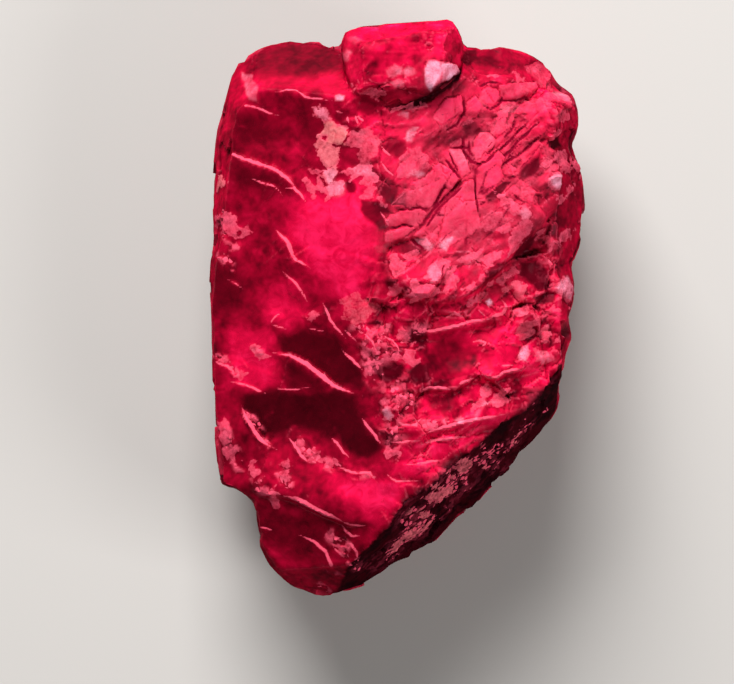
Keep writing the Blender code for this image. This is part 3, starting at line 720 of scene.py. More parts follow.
# Milky clouds inside, which catch the light and glow: corners, softness of the rim and strength.
CLOUDS = (
    (
        mm(
            "-5.6,5.1 -5.1,6 -4.1,6.2 -3.3,5.9 -2.4,6.9 -1.3,6.4 -1,4.4 -1,3.1 -1.3,1.8 -1.7,0.5 -2.8,-0.1 "
            "-3.8,1 -4.7,2.4 -5.3,3.6"
        ),
        0.9, 0.95,
    ),
    (mm("4.2,-1.1 4.9,-0.7 6,-0.9 6.2,-1.9 6,-3.1 5,-3.2 4.5,-2.6 4.8,-1.9"), 0.5, 1.0),
    (mm("-3.5,-8.8 -1.5,-8.8 0.4,-8.8 0.7,-9.2 -0.1,-10.2 -1.4,-11 -2.7,-9.8"), 0.6, 0.9),
    (mm("-9.2,-1.3 -8,-0.8 -6.5,-1.5 -6.3,-3.9 -7.1,-4.3 -8.6,-3.7"), 0.5, 0.65),
    (mm("-2.7,13.8 -2.4,14.7 2.6,15 3.4,13.5 3.4,12.3 0.1,11.4 -2.4,12"), 0.5, 0.28),
    (mm("-2.4,12 1.7,11 5.3,11.5 5.3,10.1 2.7,9.7 1.2,8.9 -0.7,8.6 -1.6,9.9"), 0.7, 0.9),
    (mm("-8.5,12.7 -7.1,12.4 -3.5,12.1 -2,11.4 -3.5,11.1 -6.7,11.6 -8.2,11.3"), 0.5, 0.65),
    (mm("-0.7,8.6 1.2,9.8 2.7,9.2 2.2,8.1 0.7,7 -0.3,6.5"), 0.6, 0.85),
    (mm("-0.5,5.3 3.4,8.6 6.8,9.4 7,5.4 4.4,2.6 0.6,1.6 -0.6,2.8"), 0.8, 0.40),
    (mm("0.4,-7.4 2.2,-6.4 5.3,-5.6 3.8,-6.8 2.2,-7.7 0.7,-8.9 -0.5,-8.8"), 0.5, 0.8),
    (mm("6.1,-2.1 7.9,-2.2 8,-3.1 7.2,-3.6 6.3,-3.3"), 0.4, 0.9),
    (mm("-7.4,-12.2 -6.2,-13.4 -4.6,-14.4 -4.2,-14 -6.4,-12.2"), 0.4, 0.45),
    (mm("-7.2,-0.6 -6.4,1.4 -5.4,1.6 -4.6,-0.4 -5.6,-1"), 0.6, 0.55),
    (mm("5,10.4 7.6,12.4 8.8,11 8.6,8.4 6.6,9.2"), 0.6, 0.6),
    # The last row is painted light, which lifts the shade at the foot of the cap.
    (
        grid("338,88 352,92 380,96 410,99 440,99 462,92 470,98 458,108 430,112 395,112 362,106 342,98"),
        0.3, 0.95,
    ),
)

# The stone between the clouds, on the left and the right front face and on the sides: how milky it is, and
# how bright its red is, from 0, nearly black, to 1, which glows.
MILK_LEFT, MILK_RIGHT, MILK_SIDES = 0.66, 0.86, 0.90
GLOW_LEFT, GLOW_RIGHT, GLOW_SIDES = 0.32, 0.60, 0.27
MILK_WALL = 0.36  # walls that look out level or down are clearer than the rest, and let light in
CLOUD_MILK = 0.86
WINDOW_MILK, WINDOW_GLOW = 0.12, 0.25
DEEP_MILK = 0.90
# Only the painted shade of the lower right facet falls below DEEPEST_GLOW.
DEEPEST_GLOW = 0.08  # only the dark side falls below this
STEEP_MILK = 0.97  # steep ground is hardly see-through, so that it shows its own red
# The lower right facet is painted nearly black, as painted shade.
SHADED_SIDE = (0.66, -0.68, 0.32)  # the way that the darkest side, the lower right facet, looks out
# Ground that looks this way would send the main light straight up. It is milky, so it doesn't gleam.
GLEAM_SIDE = (-0.11, 0.44, 0.89)
# The mottling of the stone: size, strength and seed of each of its scales.
MOTTLING = ((1.6, 0.18, 5), (0.6, 0.22, 12), (0.22, 0.14, 19))
# How far a point stands out of the ground around it, or lies below it, where an edge or a hollow starts and
# where it is full. Edges get frost, partly as a painted highlight, and hollows get painted shade.
EDGE_STANDS = (0.004, 0.022)
HOLLOW_LIES = (0.003, 0.022)


# ---------------------------------------------------------------------------------------------------------
# Colours
# ---------------------------------------------------------------------------------------------------------


def linear(hex_colour):
    """The linear values of an sRGB hex colour."""
    channels = [int(hex_colour[i : i + 2], 16) / 255 for i in (1, 3, 5)]
    return tuple(c / 12.92 if c <= 0.04045 else ((c + 0.055) / 1.055) ** 2.4 for c in channels)


def opaque(hex_colour):
    """The colour as a node takes it."""
    return (*linear(hex_colour), 1)


# The stone's red, from where it is thick and dark to where it glows. The darkest stops also carry painted
# shade, and the bright ones painted light.
RUBY_REDS = (
    (0.0, "#160104"),
    (0.05, "#44020E"),
    (0.35, "#A60428"),
    (0.7, "#DE0A3E"),
    (1.0, "#FF1C58"),
)
CRACK_RED = "#7A0622"
FRESH_FROST = "#E24F6B"
GRAIN_BUFF = "#DC7478"
PAINTED_HIGHLIGHT_VIOLET = "#F7B4D0"
SHEEN_PINK = "#FF8FA8"
FLOOR_PALE = "#C4C0BC"


# ---------------------------------------------------------------------------------------------------------
# Mesh tools
# ---------------------------------------------------------------------------------------------------------


def slab(outline, bottom, top):
    """A bmesh of the outline, pulled from one height to another."""
    body = bmesh.new()
    rim = [body.verts.new((x, y, bottom)) for x, y in outline]
    floor = body.faces.new(rim)
    pulled = bmesh.ops.extrude_face_region(body, geom=[floor])
    lifted = [item for item in pulled["geom"] if isinstance(item, bmesh.types.BMVert)]
    bmesh.ops.translate(body, verts=lifted, vec=(0, 0, top - bottom))
    bmesh.ops.recalc_face_normals(body, faces=body.faces)
    return body


def cut(body, point, outward):
    """Cuts the body flat by a plane and closes the cut."""
    everything = body.verts[:] + body.edges[:] + body.faces[:]
    outward = Vector(outward).normalized()
    made = bmesh.ops.bisect_plane(
        body, geom=everything, plane_co=point, plane_no=outward, clear_outer=True, dist=0.0005
    )
    rim = [edge for edge in made["geom_cut"] if isinstance(edge, bmesh.types.BMEdge)]
    bmesh.ops.holes_fill(body, edges=rim, sides=0)


def blank():
    """The rough block and its cap, cut by the main faces, as one mesh of two overlapping bodies."""
    block = slab(OUTLINE, 0.0, BLANK_THICKNESS)
    for point, outward in FACES:
        cut(block, point, outward)
    cap = slab(CAP_OUTLINE, CAP_BOTTOM, CAP_TOP)
    for point, outward in CAP_FACES:
        cut(cap, point, outward)
    mesh = bpy.data.meshes.new("blank")
    cap.to_mesh(mesh)
    block.from_mesh(mesh)
    block.to_mesh(mesh)
    block.free()
    cap.free()
    return mesh


def even_mesh(mesh, cell):
    """The overlapping bodies joined into one skin of even squares."""
    carrier = bpy.data.objects.new("carrier", mesh)
    bpy.context.scene.collection.objects.link(carrier)
    remesh = carrier.modifiers.new("even", "REMESH")
    remesh.mode = "VOXEL"
    remesh.voxel_size = cell
    graph = bpy.context.evaluated_depsgraph_get()
    even = bpy.data.meshes.new_from_object(carrier.evaluated_get(graph))
    bpy.data.objects.remove(carrier)
    return even


FRONT_LEAN = 0.25  # faces that look up at least this far are split


def finer_front(mesh):
    """Splits the squares that look up, where the finest relief is, and smooths the whole skin a little."""
    body = bmesh.new()
    body.from_mesh(mesh)
    all_ways = {"use_axis_x": True, "use_axis_y": True, "use_axis_z": True}
    bmesh.ops.smooth_vert(body, verts=body.verts, factor=0.5, **all_ways)
    edges = {edge for face in body.faces if face.normal.z > FRONT_LEAN for edge in face.edges}
    bmesh.ops.subdivide_edges(body, edges=list(edges), cuts=1, use_grid_fill=True)
    body.to_mesh(mesh)
    body.free()


def points_of(mesh):
    places = np.empty(len(mesh.vertices) * 3, np.float32)
    mesh.vertices.foreach_get("co", places)
    return places.reshape(-1, 3).astype(float)


def normals_of(mesh):
    ways = np.empty(len(mesh.vertices) * 3, np.float32)
    mesh.vertex_normals.foreach_get("vector", ways)
    return ways.reshape(-1, 3).astype(float)


def set_points(mesh, places):
    mesh.vertices.foreach_set("co", places.astype(np.float32).ravel())
    mesh.update()


def store(mesh, name, values):
    """Keeps one number for each point, for the material to read."""
    layer = mesh.attributes.new(name, "FLOAT", "POINT")
    layer.data.foreach_set("value", values.astype(np.float32))


# ---------------------------------------------------------------------------------------------------------
# Fields over the surface
# ---------------------------------------------------------------------------------------------------------


def ramp(value, low, high):
    """0 below low, 1 above high and smooth between them."""
    share = np.clip((value - low) / (high - low), 0, 1)
    return share * share * (3 - 2 * share)


def along(places, route):
    """Each point's distance from a route, signed by its side of it, and how far along the route it lies."""
    corners = np.array(route, float)
    stretches = np.hypot(*(corners[1:] - corners[:-1]).T)
    starts = np.concatenate([[0], np.cumsum(stretches)[:-1]])
    nearest = np.full(len(places), np.inf)
    signed = np.zeros(len(places))
    travelled = np.zeros(len(places))
    for begin, end, length, start in zip(corners[:-1], corners[1:], stretches, starts):
        way = (end - begin) / length
        offset = places[:, :2] - begin
        share = np.clip(offset @ way, 0, length)
        apart = np.hypot(*(offset - share[:, None] * way).T)
        side = way[0] * offset[:, 1] - way[1] * offset[:, 0]
        closer = apart < nearest - 1e-9
        nearest = np.where(closer, apart, nearest)
        signed = np.where(closer, np.copysign(apart, side), signed)
        travelled = np.where(closer, start + share, travelled)
    return signed, travelled, stretches.sum()


def inside(places, corners):
    """How deep each point lies inside a polygon seen from above, below zero outside it."""
    corners = np.array(corners, float)
    within = np.zeros(len(places), bool)
    nearest = np.full(len(places), np.inf)
    x, y = places[:, 0], places[:, 1]
    for (x1, y1), (x2, y2) in zip(corners, np.roll(corners, -1, axis=0)):
        crosses = (y1 > y) != (y2 > y)
        reach = x1 + (y - y1) * (x2 - x1) / (y2 - y1 + 1e-12)
        within ^= crosses & (x < reach)
        way = np.array([x2 - x1, y2 - y1])
        share = np.clip(((places[:, :2] - (x1, y1)) @ way) / (way @ way), 0, 1)
        nearest = np.minimum(nearest, np.hypot(x - x1 - share * way[0], y - y1 - share * way[1]))
    return np.where(within, nearest, -nearest)


def spot(places, centre, reach):
    """1 at the centre and dying away over the reach across and along."""
    across = (places[:, 0] - centre[0]) / reach[0]
    upward = (places[:, 1] - centre[1]) / reach[1]
    return np.exp(-(across**2) - upward**2)


def spots(places, table):
    """The strongest of a table of spots."""
    most = np.zeros(len(places))
    for centre, reach, strength in table:
        most = np.maximum(most, strength * spot(places, centre, reach))
    return most


def wave(places, size, seed):
    """Smooth noise from -1 to 1 with lumps of about this size."""
    shift = Vector((seed * 7.3, seed * 3.1, seed * 5.7))
    return np.array([noise.noise(Vector(place) / size + shift) for place in places])


def turned(places, angle):
    """The points turned clockwise about Z, so that what runs along X in them runs this way on the stone."""
    cos, sin = math.cos(math.radians(angle)), math.sin(math.radians(angle))
    x, y, z = places.T
    return np.stack([x * cos + y * sin, y * cos - x * sin, z], axis=1)


def ridges(places, angle, spacing, seed):
    """Long sharp crests, from 0 to 1, that run at an angle from +X and stand about this far apart."""
    stretched = turned(places, angle) / (RIDGE_LENGTH * spacing, spacing, 2 * spacing)
    return 1 - np.abs(np.clip(RIDGE_SHARPNESS * wave(stretched, 1.0, seed), -1, 1))


def warped(places, size, reach, seed):
    """The points pushed about by smooth noise, so that what is drawn on them gets an uneven edge."""
    moved = places.copy()
    moved[:, 0] += reach * wave(places, size, seed)
    moved[:, 1] += reach * wave(places, size, seed + 1)
    return moved


def fields(places, table):
    """The strongest of a table of soft-edged polygons, each with its corners, softness and strength."""
    most = np.zeros(len(places))
    for corners, soft, strength in table:
        most = np.maximum(most, strength * ramp(inside(places, corners), -soft, soft))
    return most


def deepened(soft, strength):
    """How deep a patch of deep and shaded ground is, from the softness of its rim and its strength."""
    return round(1 - (1 - strength) ** CRISP_DEPTH, 2) if soft < CRISP_RIM else strength


def ledge(places, route, height, reach, riser):
    """A step: it rises across the route and dies away behind it and at both ends."""
    signed, travelled, total = along(places, route)
    if height < 0:
        signed = -signed
    rise = 0.5 + 0.5 * np.tanh(signed / riser)
    fade = min(LEDGE_FADE * total, LONGEST_FADE)
    ends = ramp(travelled, 0, fade) * ramp(total - travelled, 0, fade)
    return abs(height) * rise * np.exp(-((np.maximum(signed, 0) / reach) ** 2)) * ends


def chips(places, spacing, lean, notch, blend, seed):
    """Tilted flat chips, and a number for each point that tells its chip from others.

    With a blend there are notches between them. With none they meet in crisp edges, as a crystal's faces do.
    """
    dice = random.Random(seed)
    low, high = places.min(0) - spacing, places.max(0) + spacing
    counts = np.ceil((high - low) / spacing).astype(int)
    tree = KDTree(int(np.prod(counts)))
    tilts = []
    draws = []
    for cell in np.ndindex(*counts):
        strays = [dice.uniform(-CHIP_STRAY, CHIP_STRAY) for _ in range(3)]
        centre = [low[k] + (cell[k] + 0.5 + strays[k]) * spacing for k in range(3)]
        tree.insert(centre, len(tilts))
        tilts.append([dice.gauss(0, lean) for _ in range(3)])
        draws.append(len(draws) * GOLDEN_SHARE % 1)
    tree.balance()
    heights = np.empty(len(places))
    draw = np.empty(len(places))
    for i, place in enumerate(places):
        (first, a, near), (second, b, far) = tree.find_n(place, 2)
        ax, ay, az = tilts[a]
        bx, by, bz = tilts[b]
        x, y, z = place
        inner = ax * (x - first.x) + ay * (y - first.y) + az * (z - first.z)
        outer = bx * (x - second.x) + by * (y - second.y) + bz * (z - second.z)
        draw[i] = draws[a]
        if not blend:
            heights[i] = min(inner, outer + ROOF_SLOPE * (far - near))
            continue
        inward = min((far - near) / blend, 1.0)
        share = 0.5 + 0.5 * inward * inward * (3 - 2 * inward)
        heights[i] = share * inner + (1 - share) * outer - notch * (1 - inward) ** 2
    return heights, draw


# ---------------------------------------------------------------------------------------------------------
# The crystal
# ---------------------------------------------------------------------------------------------------------


def crumbly(places):
    """Where small flakes cling along broken lines."""
    crumbs = np.zeros(len(places))
    for route, spread in CRUMBS:
        signed, _, _ = along(places, route)
        crumbs = np.maximum(crumbs, np.exp(-((signed / spread) ** 2)))
    return crumbs * ramp(wave(places, 0.7, 16), -0.35, 0.15)


class Ground:
    """The blank's points with the shares of the surface that each kind of ground takes."""

    def __init__(self, places, normals):
        self.places = places
        self.normals = normals
        up = normals[:, 2]
        self.front = ramp(up, 0.35, 0.75)
        self.facing = ramp(up, 0.0, 0.3)
        self.side = (1 - self.front) * ramp(up, -0.90, -0.65)
        crest_x, crest_y = np.array(CREST[::-1]).T
        crest = np.interp(places[:, 1], crest_y, crest_x)
        wander = BORDER_WANDER * wave(places, BORDER_BAYS, BORDER_SEED)
        self.right = ramp(places[:, 0] - crest + wander, BORDER_START, BORDER_END)
        x, y, reach_x, reach_y = PLATEAU
        far = ((places[:, 0] - x) / reach_x) ** 2 + ((places[:, 1] - y) / reach_y) ** 2
        self.plateau = np.exp(-(far**2))
        self.grain = np.maximum(spots(places, GRAINS), crumbly(places)) * self.facing
        self.lines = warped(warped(places, 0.8, LIP_WANDER, 9), 0.22, LIP_JAG, 11)
        drawn = warped(warped(places, 1.0, 0.3, 15), 0.3, 0.12, 67)
        self.window = fields(drawn, WINDOWS) * self.facing
        self.cloud = fields(drawn, CLOUDS) * self.facing
        deeps = [(corners, soft, deepened(soft, strength)) for corners, soft, strength in DEEP_AND_SHADED_GROUND]
        self.deep_and_shaded = fields(self.lines, deeps) * self.facing
        # The lower right facet, which gets painted shade.
        toward = normals @ (np.array(SHADED_SIDE) / np.linalg.norm(SHADED_SIDE))
        self.side_shade = ramp(toward, 0.55, 0.85) * ramp(up, 0.0, 0.2)
        self.calm = np.ones(len(places))
        for centre, reach, share in CALM:
            self.calm *= 1 - share * spot(places, centre, reach)
        self.rough = self.roughness() * self.calm

    def roughness(self):
        """The share of the chipped relief that each point gets, before the calm patches."""
        rim = 1 - ramp(abs(self.normals[:, 2]), 0.05, 0.30)
        edges = ramp(self.places[:, 0], -6, 2) * (RIGHT_SIDE_ROUGHNESS - LEFT_SIDE_ROUGHNESS)
        edges += LEFT_SIDE_ROUGHNESS
        plates = 1 + self.plateau * (PLATEAU_ROUGHNESS - 1)
        front = self.front * (self.right * plates + (1 - self.right) * LEFT_FACE_ROUGHNESS)
        return front + self.side * (edges + rim * (RIM_ROUGHNESS - edges))


def main_relief(ground):
    """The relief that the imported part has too: chips, ledges, knobs and hollows."""
    places = ground.places
    height, _ = chips(places, CHIP_SPACING, CHIP_LEAN, CHIP_NOTCH, CHIP_BLEND, CHIP_SEED)
    height *= ground.rough
    for route, step, reach in LEDGES:
        low = abs(step) < LOW_LEDGE
        across = ground.lines if low else places
        height += ground.front * ledge(across, route, step, reach, LOW_RISER if low else LEDGE_RISER)
    for centre, radius, rise in KNOBS:
        height += ground.front * rise * spot(places, centre, (radius, radius))
    return height


def plate_relief(ground, height, frost_and_highlight):
    """Lays the flat plates on the relief so far, each in a narrow groove, opens the cracks and gives both."""
    places, drawn = ground.places, ground.lines
    cracks, plates = np.zeros(len(places)), np.zeros(len(places))
    worn = 0.12 * wave(places, 0.8, 61)
    streaked = turned(places, 38) * (0.35, 1.0, 1.0)
    tone = np.clip(0.92 + 0.45 * wave(streaked, 0.5, 75) + 0.25 * wave(places, 0.3, 76), 0.35, 1.2)
    for corners, rise, lean_across, lean_along, waxy in PLATES:
        depth = inside(drawn, corners)
        middle = np.mean(corners, axis=0)
        share = ramp(depth, -PLATE_EDGE / 2, PLATE_EDGE / 2)
        tilt = (places[:, 0] - middle[0]) * lean_across + (places[:, 1] - middle[1]) * lean_along
        height = height * (1 - PLATE_FLATNESS * share) + share * (rise + tilt)
        groove = np.exp(-(((depth + PLATE_GROOVE_WIDTH) / PLATE_GROOVE_WIDTH) ** 2))
        height -= PLATE_GROOVE * groove * ground.front
        frost_and_highlight = np.maximum(frost_and_highlight, share * waxy * PLATE_WAX * tone)
        plates = np.maximum(plates, share)
    for route, depth, width in CRACKS:
        signed, travelled, total = along(drawn, route)
        ends = ramp(travelled, 0, 0.4) * ramp(total - travelled, 0, 0.4)
        groove = np.exp(-((signed / width) ** 2)) * ends
        height -= depth * groove
        frost_and_highlight = frost_and_highlight * (1 - groove)
        cracks = np.maximum(cracks, 0.74 + 0.20 * ends + worn + width - np.abs(signed) / LINE_SPREAD)
    return height, frost_and_highlight, cracks, plates


def lip_relief(ground, height):
    """Raises the thin lips, and gives the lines that they draw, which are wider where they are broken. Their
    frost is partly a painted highlight.
    """
    broken = ramp(wave(ground.places, 0.45, 3), -0.35, 0.15)
    drawn = ground.lines
    lips = np.zeros(len(drawn))
    for route, rise, white in LIPS:
        height = height + ground.front * ledge(drawn, route, -rise, LIP_REACH, LIP_RISER)
        signed, travelled, total = along(drawn, route)
        fade = min(0.3 * total, 1.2)
        ends = ramp(travelled, -0.1, fade) * ramp(total - travelled, -0.1, fade)
        strength = 0.83 + (0.04 + 0.22 * white) * ends * (0.75 + 0.25 * broken)
        lips = np.maximum(lips, strength - np.abs(signed) * np.where(signed > 0, 1.6, 1.0) / LINE_SPREAD)
    return height, lips


def crust_relief(ground, height):
    """Lays the torn waxy crust on the relief so far, and gives where it lies and where it is stained buff."""
    places = ground.places
    torn = warped(places, 0.7, CRUST_TEAR, 41)
    grain = wave(places, 0.18, 45)
    streaked = turned(places, 25) * (0.4, 1.0, 1.0)
    tear = 0.22 * wave(streaked, 0.26, 43) + 0.10 * wave(streaked, 0.13, 44)
    tone = np.clip(0.88 + 0.40 * wave(streaked, 0.45, 46) + 0.30 * grain, 0.2, 1.3)
    buff, crust, wax = np.zeros(len(places)), np.zeros(len(places)), np.full(len(places), 0.6)
    facing = ground.facing
    flakes = [(corners, thickness, FLAKE_WAX, FLAKE_STAIN) for corners, thickness in FLAKES]
    for corners, thickness, waxy, stain in (*CRUST, *flakes):
        depth = inside(torn, corners) + tear
        share = ramp(depth, -CRUST_EDGE / 2, CRUST_EDGE) * facing
        height = height + share * (thickness + CRUST_GRAIN * grain * (0.3 + stain))
        mark = np.clip(0.5 + depth / CRUST_SPREAD, 0, 1) * facing
        wax = np.where(mark > crust, waxy * tone, wax)
        crust = np.maximum(crust, mark)
        buff = np.maximum(buff, share * stain)
    lumps = 0.7 * wave(places, 1.1, 47) + 0.5 * wave(places, 0.45, 48)
    covered = spots(places, PATCHED) * facing
    share = ramp(lumps, 0.62 - 0.8 * covered, 0.70 - 0.8 * covered) * ramp(covered, 0.05, 0.2)
    share *= (1 - ground.window) * (1 - ground.deep_and_shaded)
    height = height + PATCH_THICKNESS * share
    wax = np.where(share > crust, 0.6 * tone, wax)
    return height, {"crust": np.maximum(crust, share), "wax": wax, "buff": buff}


def side_relief(ground):
    """Broken sides: flat facets with crisp edges, and parting steps that run level round the crystal."""
    places = ground.places
    facets, _ = chips(places * (1.0, 1.0, 1.2), *SIDE_FACETS)
    small, _ = chips(places, *SMALL_FACETS)
    level = (places[:, 2] + 0.5 * wave(places, 4.0, 52) + 0.06 * wave(places, 0.9, 53)) / SIDE_STEP
    share = level - np.floor(level)
    steps = ramp(share, 0.0, 0.06) - share
    broken = ramp(wave(places, 2.6, 54), -0.15, 0.15)
    upper = (0.85 - 0.45 * ground.right) * ramp(ground.normals[:, 2], -0.05, 0.20)
    share = ground.side * (1 - upper) * (1 - 0.6 * ground.side_shade) * (0.3 + 0.7 * ground.calm)
    return share * np.minimum(0.95 * facets + 0.22 * small + SIDE_STEP_DEPTH * steps * broken, SIDE_RISE)


def chip_relief(ground, settings):
    """The small and the tiny chips on slightly uneven ground, and a number for each point's tiny chip."""
    places, front = ground.places, ground.front
    rough = ground.rough * (1 - 0.7 * ground.window * ground.right) * (1 - 0.6 * ground.deep_and_shaded)
    slanted = turned(places, SMALL_CHIP_ANGLE) * SMALL_CHIP_STRETCH
    small, _ = chips(slanted, *SMALL_CHIPS)
    tiny, draw = chips(places, *TINY_CHIPS)
    height = settings.small_chips * small * rough * (1 - ground.plateau) * (0.25 + 0.75 * front)
    height += settings.tiny_chips * tiny * np.clip(0.12 * rough + ground.grain, 0, 1)
    height += SWELL * wave(places, 2.6, 1) + RIPPLE * wave(places, 0.9, 2) * (front + ground.side)
    return height, draw


def family_of_ridges(ground, name):
    """One family of the short ridges, from 0 to 1."""
    bend, angle, spacing, seed, patches = RIDGE_FAMILIES[name]
    bent = warped(ground.places, *bend) if bend else ground.places
    return ridges(bent, angle, spacing, seed) * (spots(ground.places, patches) * ground.front)


def long_ridges(ground):
    """Broken ridges across the right front face, level low down and rising towards its upper right end."""
    places = ground.places
    steep = ramp(places[:, 1] + 0.6 * places[:, 0], 6.0, 11.0)
    level = ridges(places, 10, 1.3, 7) * (1 - steep)
    rising = ridges(places, 38, 0.7, 8) * steep
    patchy = ramp(wave(places, 1.5, 10), -0.5, 0.4)
    calm = (1 - 0.6 * ground.plateau) * (1 - 0.8 * ground.window) * (1 - 0.7 * ground.deep_and_shaded) * ground.calm
    return (level + rising) * patchy * ground.front * ground.right * calm


def plateau_hairs(ground):
    """Hair cracks that part the plates of the plateau."""
    parted = np.maximum(spot(ground.places, *PARTED), 0.75 * ground.plateau) * ground.front
    parted *= ramp(wave(ground.places, 0.9, 84), -0.35, 0.15)
    return 0.60 + 0.36 * parted - (1 - ridges(ground.lines, 41, 0.8, 83))


def fine_relief(ground, settings):
    """The whole fine relief, with the fields that go with it: frost, partly painted highlight, buff, cracks,
    lips and painted glints.
    """
    places, front, plateau = ground.places, ground.front, ground.plateau
    height, draw = chip_relief(ground, settings)
    height += side_relief(ground)

    short = {name: family_of_ridges(ground, name) for name in RIDGE_FAMILIES}
    short["bands"] *= ground.right
    short["lumps"] = (0.5 + 0.5 * wave(places, 0.75, 24)) * spot(places, *LUMPY) * front
    short["striae"] = ridges(places, 40, 0.34, 64) * plateau * front
    for name, high in RIDGE_HEIGHTS.items():
        height += high * short[name]
    long = long_ridges(ground)
    height += settings.ridges * LONG_RIDGE_HEIGHT * long

    wax = 0.8 + 0.6 * wave(places, 1.0, 14) + 0.6 * wave(places, 0.35, 18)
    frost_and_highlight = np.clip(PLATEAU_WAX * plateau * front * wax, 0, 1) * (1 - 0.8 * ground.deep_and_shaded)
    frost_and_highlight += 0.25 * short["fibres"] + 0.15 * short["striae"]
    crests = ramp(short["folds"], 0.62, 0.92) + ramp(short["swirls"], 0.62, 0.92)
    crests += ramp(short["bands"], 0.66, 0.94) + 0.8 * ramp(long, 0.62, 0.95)
    crests = np.clip(crests, 0, 1)
    # The crests are frosted, partly as a painted highlight, and some get a painted glint.
    white = CREST_FROST * crests * (0.75 + 0.6 * wave(places, 0.8, 28)) * (1 - 0.8 * ground.deep_and_shaded)
    frost_and_highlight = np.maximum(frost_and_highlight, white)
    glints = CREST_GLINT * crests * ramp(wave(places, 1.1, 70), 0.0, 0.35)

    height, crust = crust_relief(ground, height)
    height, frost_and_highlight, cracks, plates = plate_relief(ground, height, frost_and_highlight)
    cracks = np.maximum(cracks, plateau_hairs(ground))
    height, lips = lip_relief(ground, height)
    shed = ramp(draw, 0.52, 0.58)
    crumbs = (0.05 + 0.70 * shed) * ramp(ground.grain, 0.15, 0.6) * (0.7 + 0.3 * ramp(draw, 0.6, 1))
    frost_and_highlight = np.maximum(frost_and_highlight, crumbs)
    height += CRUMB_HEIGHT * shed * ground.grain
    lines = {"crack": cracks * front, "lip": lips * front, "plate": plates}
    return height, {"frost_and_highlight": frost_and_highlight, "glint": glints, **crust, **lines}


def sharpness(mesh, places):
    """How much each point stands out from its neighbours: above zero on an edge, below zero in a notch."""
    ends = np.empty(len(mesh.edges) * 2, np.int32)
    mesh.edges.foreach_get("vertices", ends)
    ends = ends.reshape(-1, 2)
    total = np.zeros((len(places), 3))
    count = np.zeros(len(places))
    for one, other in ((0, 1), (1, 0)):
        np.add.at(total, ends[:, one], places[ends[:, other]])
        np.add.at(count, ends[:, one], 1)
    mean = total / count[:, None]
    return np.einsum("ij,ij->i", places - mean, normals_of(mesh))


def fit_to_box(places):
    """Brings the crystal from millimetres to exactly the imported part's box."""
    low, high = places.min(0), places.max(0)
    box_low, box_high = np.array(CAD_LOW, float), np.array(CAD_HIGH, float)
    return box_low + (places - low) * (box_high - box_low) / (high - low)


def rest_face(mesh):
    """Cuts the parting face that the crystal lies on truly flat, with no point left close to the cut."""
    body = bmesh.new()
    body.from_mesh(mesh)
    for vertex in body.verts:
        above = vertex.co.z - BASE_TRIM
        if abs(above) < BASE_MARGIN:
            vertex.co.z = BASE_TRIM + math.copysign(BASE_MARGIN, above)
    cut(body, (0, 0, BASE_TRIM), (0, 0, -1))
    bmesh.ops.triangulate(body, faces=[face for face in body.faces if len(face.verts) > 4])
    body.to_mesh(mesh)
    body.free()


def thinner_back(mesh, share):
    """Thins out the sides and the back, which need less than the front, to this share of all triangles."""
    carrier = bpy.data.objects.new("carrier", mesh)
    bpy.context.scene.collection.objects.link(carrier)
    group = carrier.vertex_groups.new(name="back")
    away = ramp(-normals_of(mesh)[:, 2], -0.30, -0.10)
    for level in (0.25, 0.5, 1.0):
        chosen = np.flatnonzero(away > level - 0.25)
        group.add([int(i) for i in chosen], level, "REPLACE")
    thinner = carrier.modifiers.new("thinner", "DECIMATE")
    thinner.ratio = share
    thinner.vertex_group = group.name
    thinner.vertex_group_factor = 10.0
    graph = bpy.context.evaluated_depsgraph_get()
    thin = bpy.data.meshes.new_from_object(carrier.evaluated_get(graph))
    bpy.data.objects.remove(carrier)
    return thin


def edge_frost(ground, standing, strength):
    """How frosted the broken edges are, partly as a painted highlight, from how far they stand out of the
    ground around them.
    """
    edges = ramp(standing, *EDGE_STANDS) * strength
    edges *= 0.4 + 0.6 * ramp(wave(ground.places, 0.7, 4), -0.2, 0.3)
    edges *= (1 - 0.6 * ground.window) * (0.45 + 0.55 * ground.front) * (1 - 0.4 * ground.side_shade)
    return edges * (1 - 0.75 * ground.facing * (1 - ground.right))


def by_face(ground, left, right, sides):
    """A value that changes from the left front face to the right one and to the sides."""
    return ground.front * (left + (right - left) * ground.right) + (1 - ground.front) * sides


def plain_stone(ground, mottling):
    """How milky and how bright the stone is in general, with clearer walls around it."""
    wall = 1 - ramp(ground.normals[:, 2], -0.15, 0.08)
    milk = by_face(ground, MILK_LEFT, MILK_RIGHT, MILK_SIDES)
    glow = by_face(ground, GLOW_LEFT, GLOW_RIGHT, GLOW_SIDES)
    milk += wall * (MILK_WALL - milk) + 0.55 * wall * mottling
    milk *= 1 - 0.75 * ramp(wave(ground.places, 2.6, 55), 0.0, 0.25) * wall
    glow += mottling * (1 + 0.6 * ground.right) * (1 - 0.5 * wall)
    return milk, glow, wall


def clouds_and_painted_light(ground, fine, plates, mottling, milk, glow):
    """Adds the clouds and the bright right side, paints light on the right rim's shaded slopes, and paints
    shade in the dips between chips and between plates.
    """
    front, right = ground.front, ground.right
    cloud = ground.cloud * (0.35 + 0.65 * front)
    milk += (CLOUD_MILK - milk) * cloud
    glow += (1 - glow) * cloud * (0.85 + 0.4 * mottling)
    # Painted shade in the dips of the right front face and between the plates.
    glow -= 0.5 * right * front * (1 - ramp(fine, -0.12, 0.14))
    shade_between_plates = ground.plateau * front * (1 - plates)
    glow *= 1 - 0.42 * shade_between_plates * np.clip(0.9 + 0.9 * wave(ground.places, 0.6, 85), 0, 1.4)
    # Painted light on the slopes of the right rim, which lie in shade.
    glow += 0.45 * right * (1 - front) * ramp(ground.normals[:, 2], 0.1, 0.4)
    return milk, glow


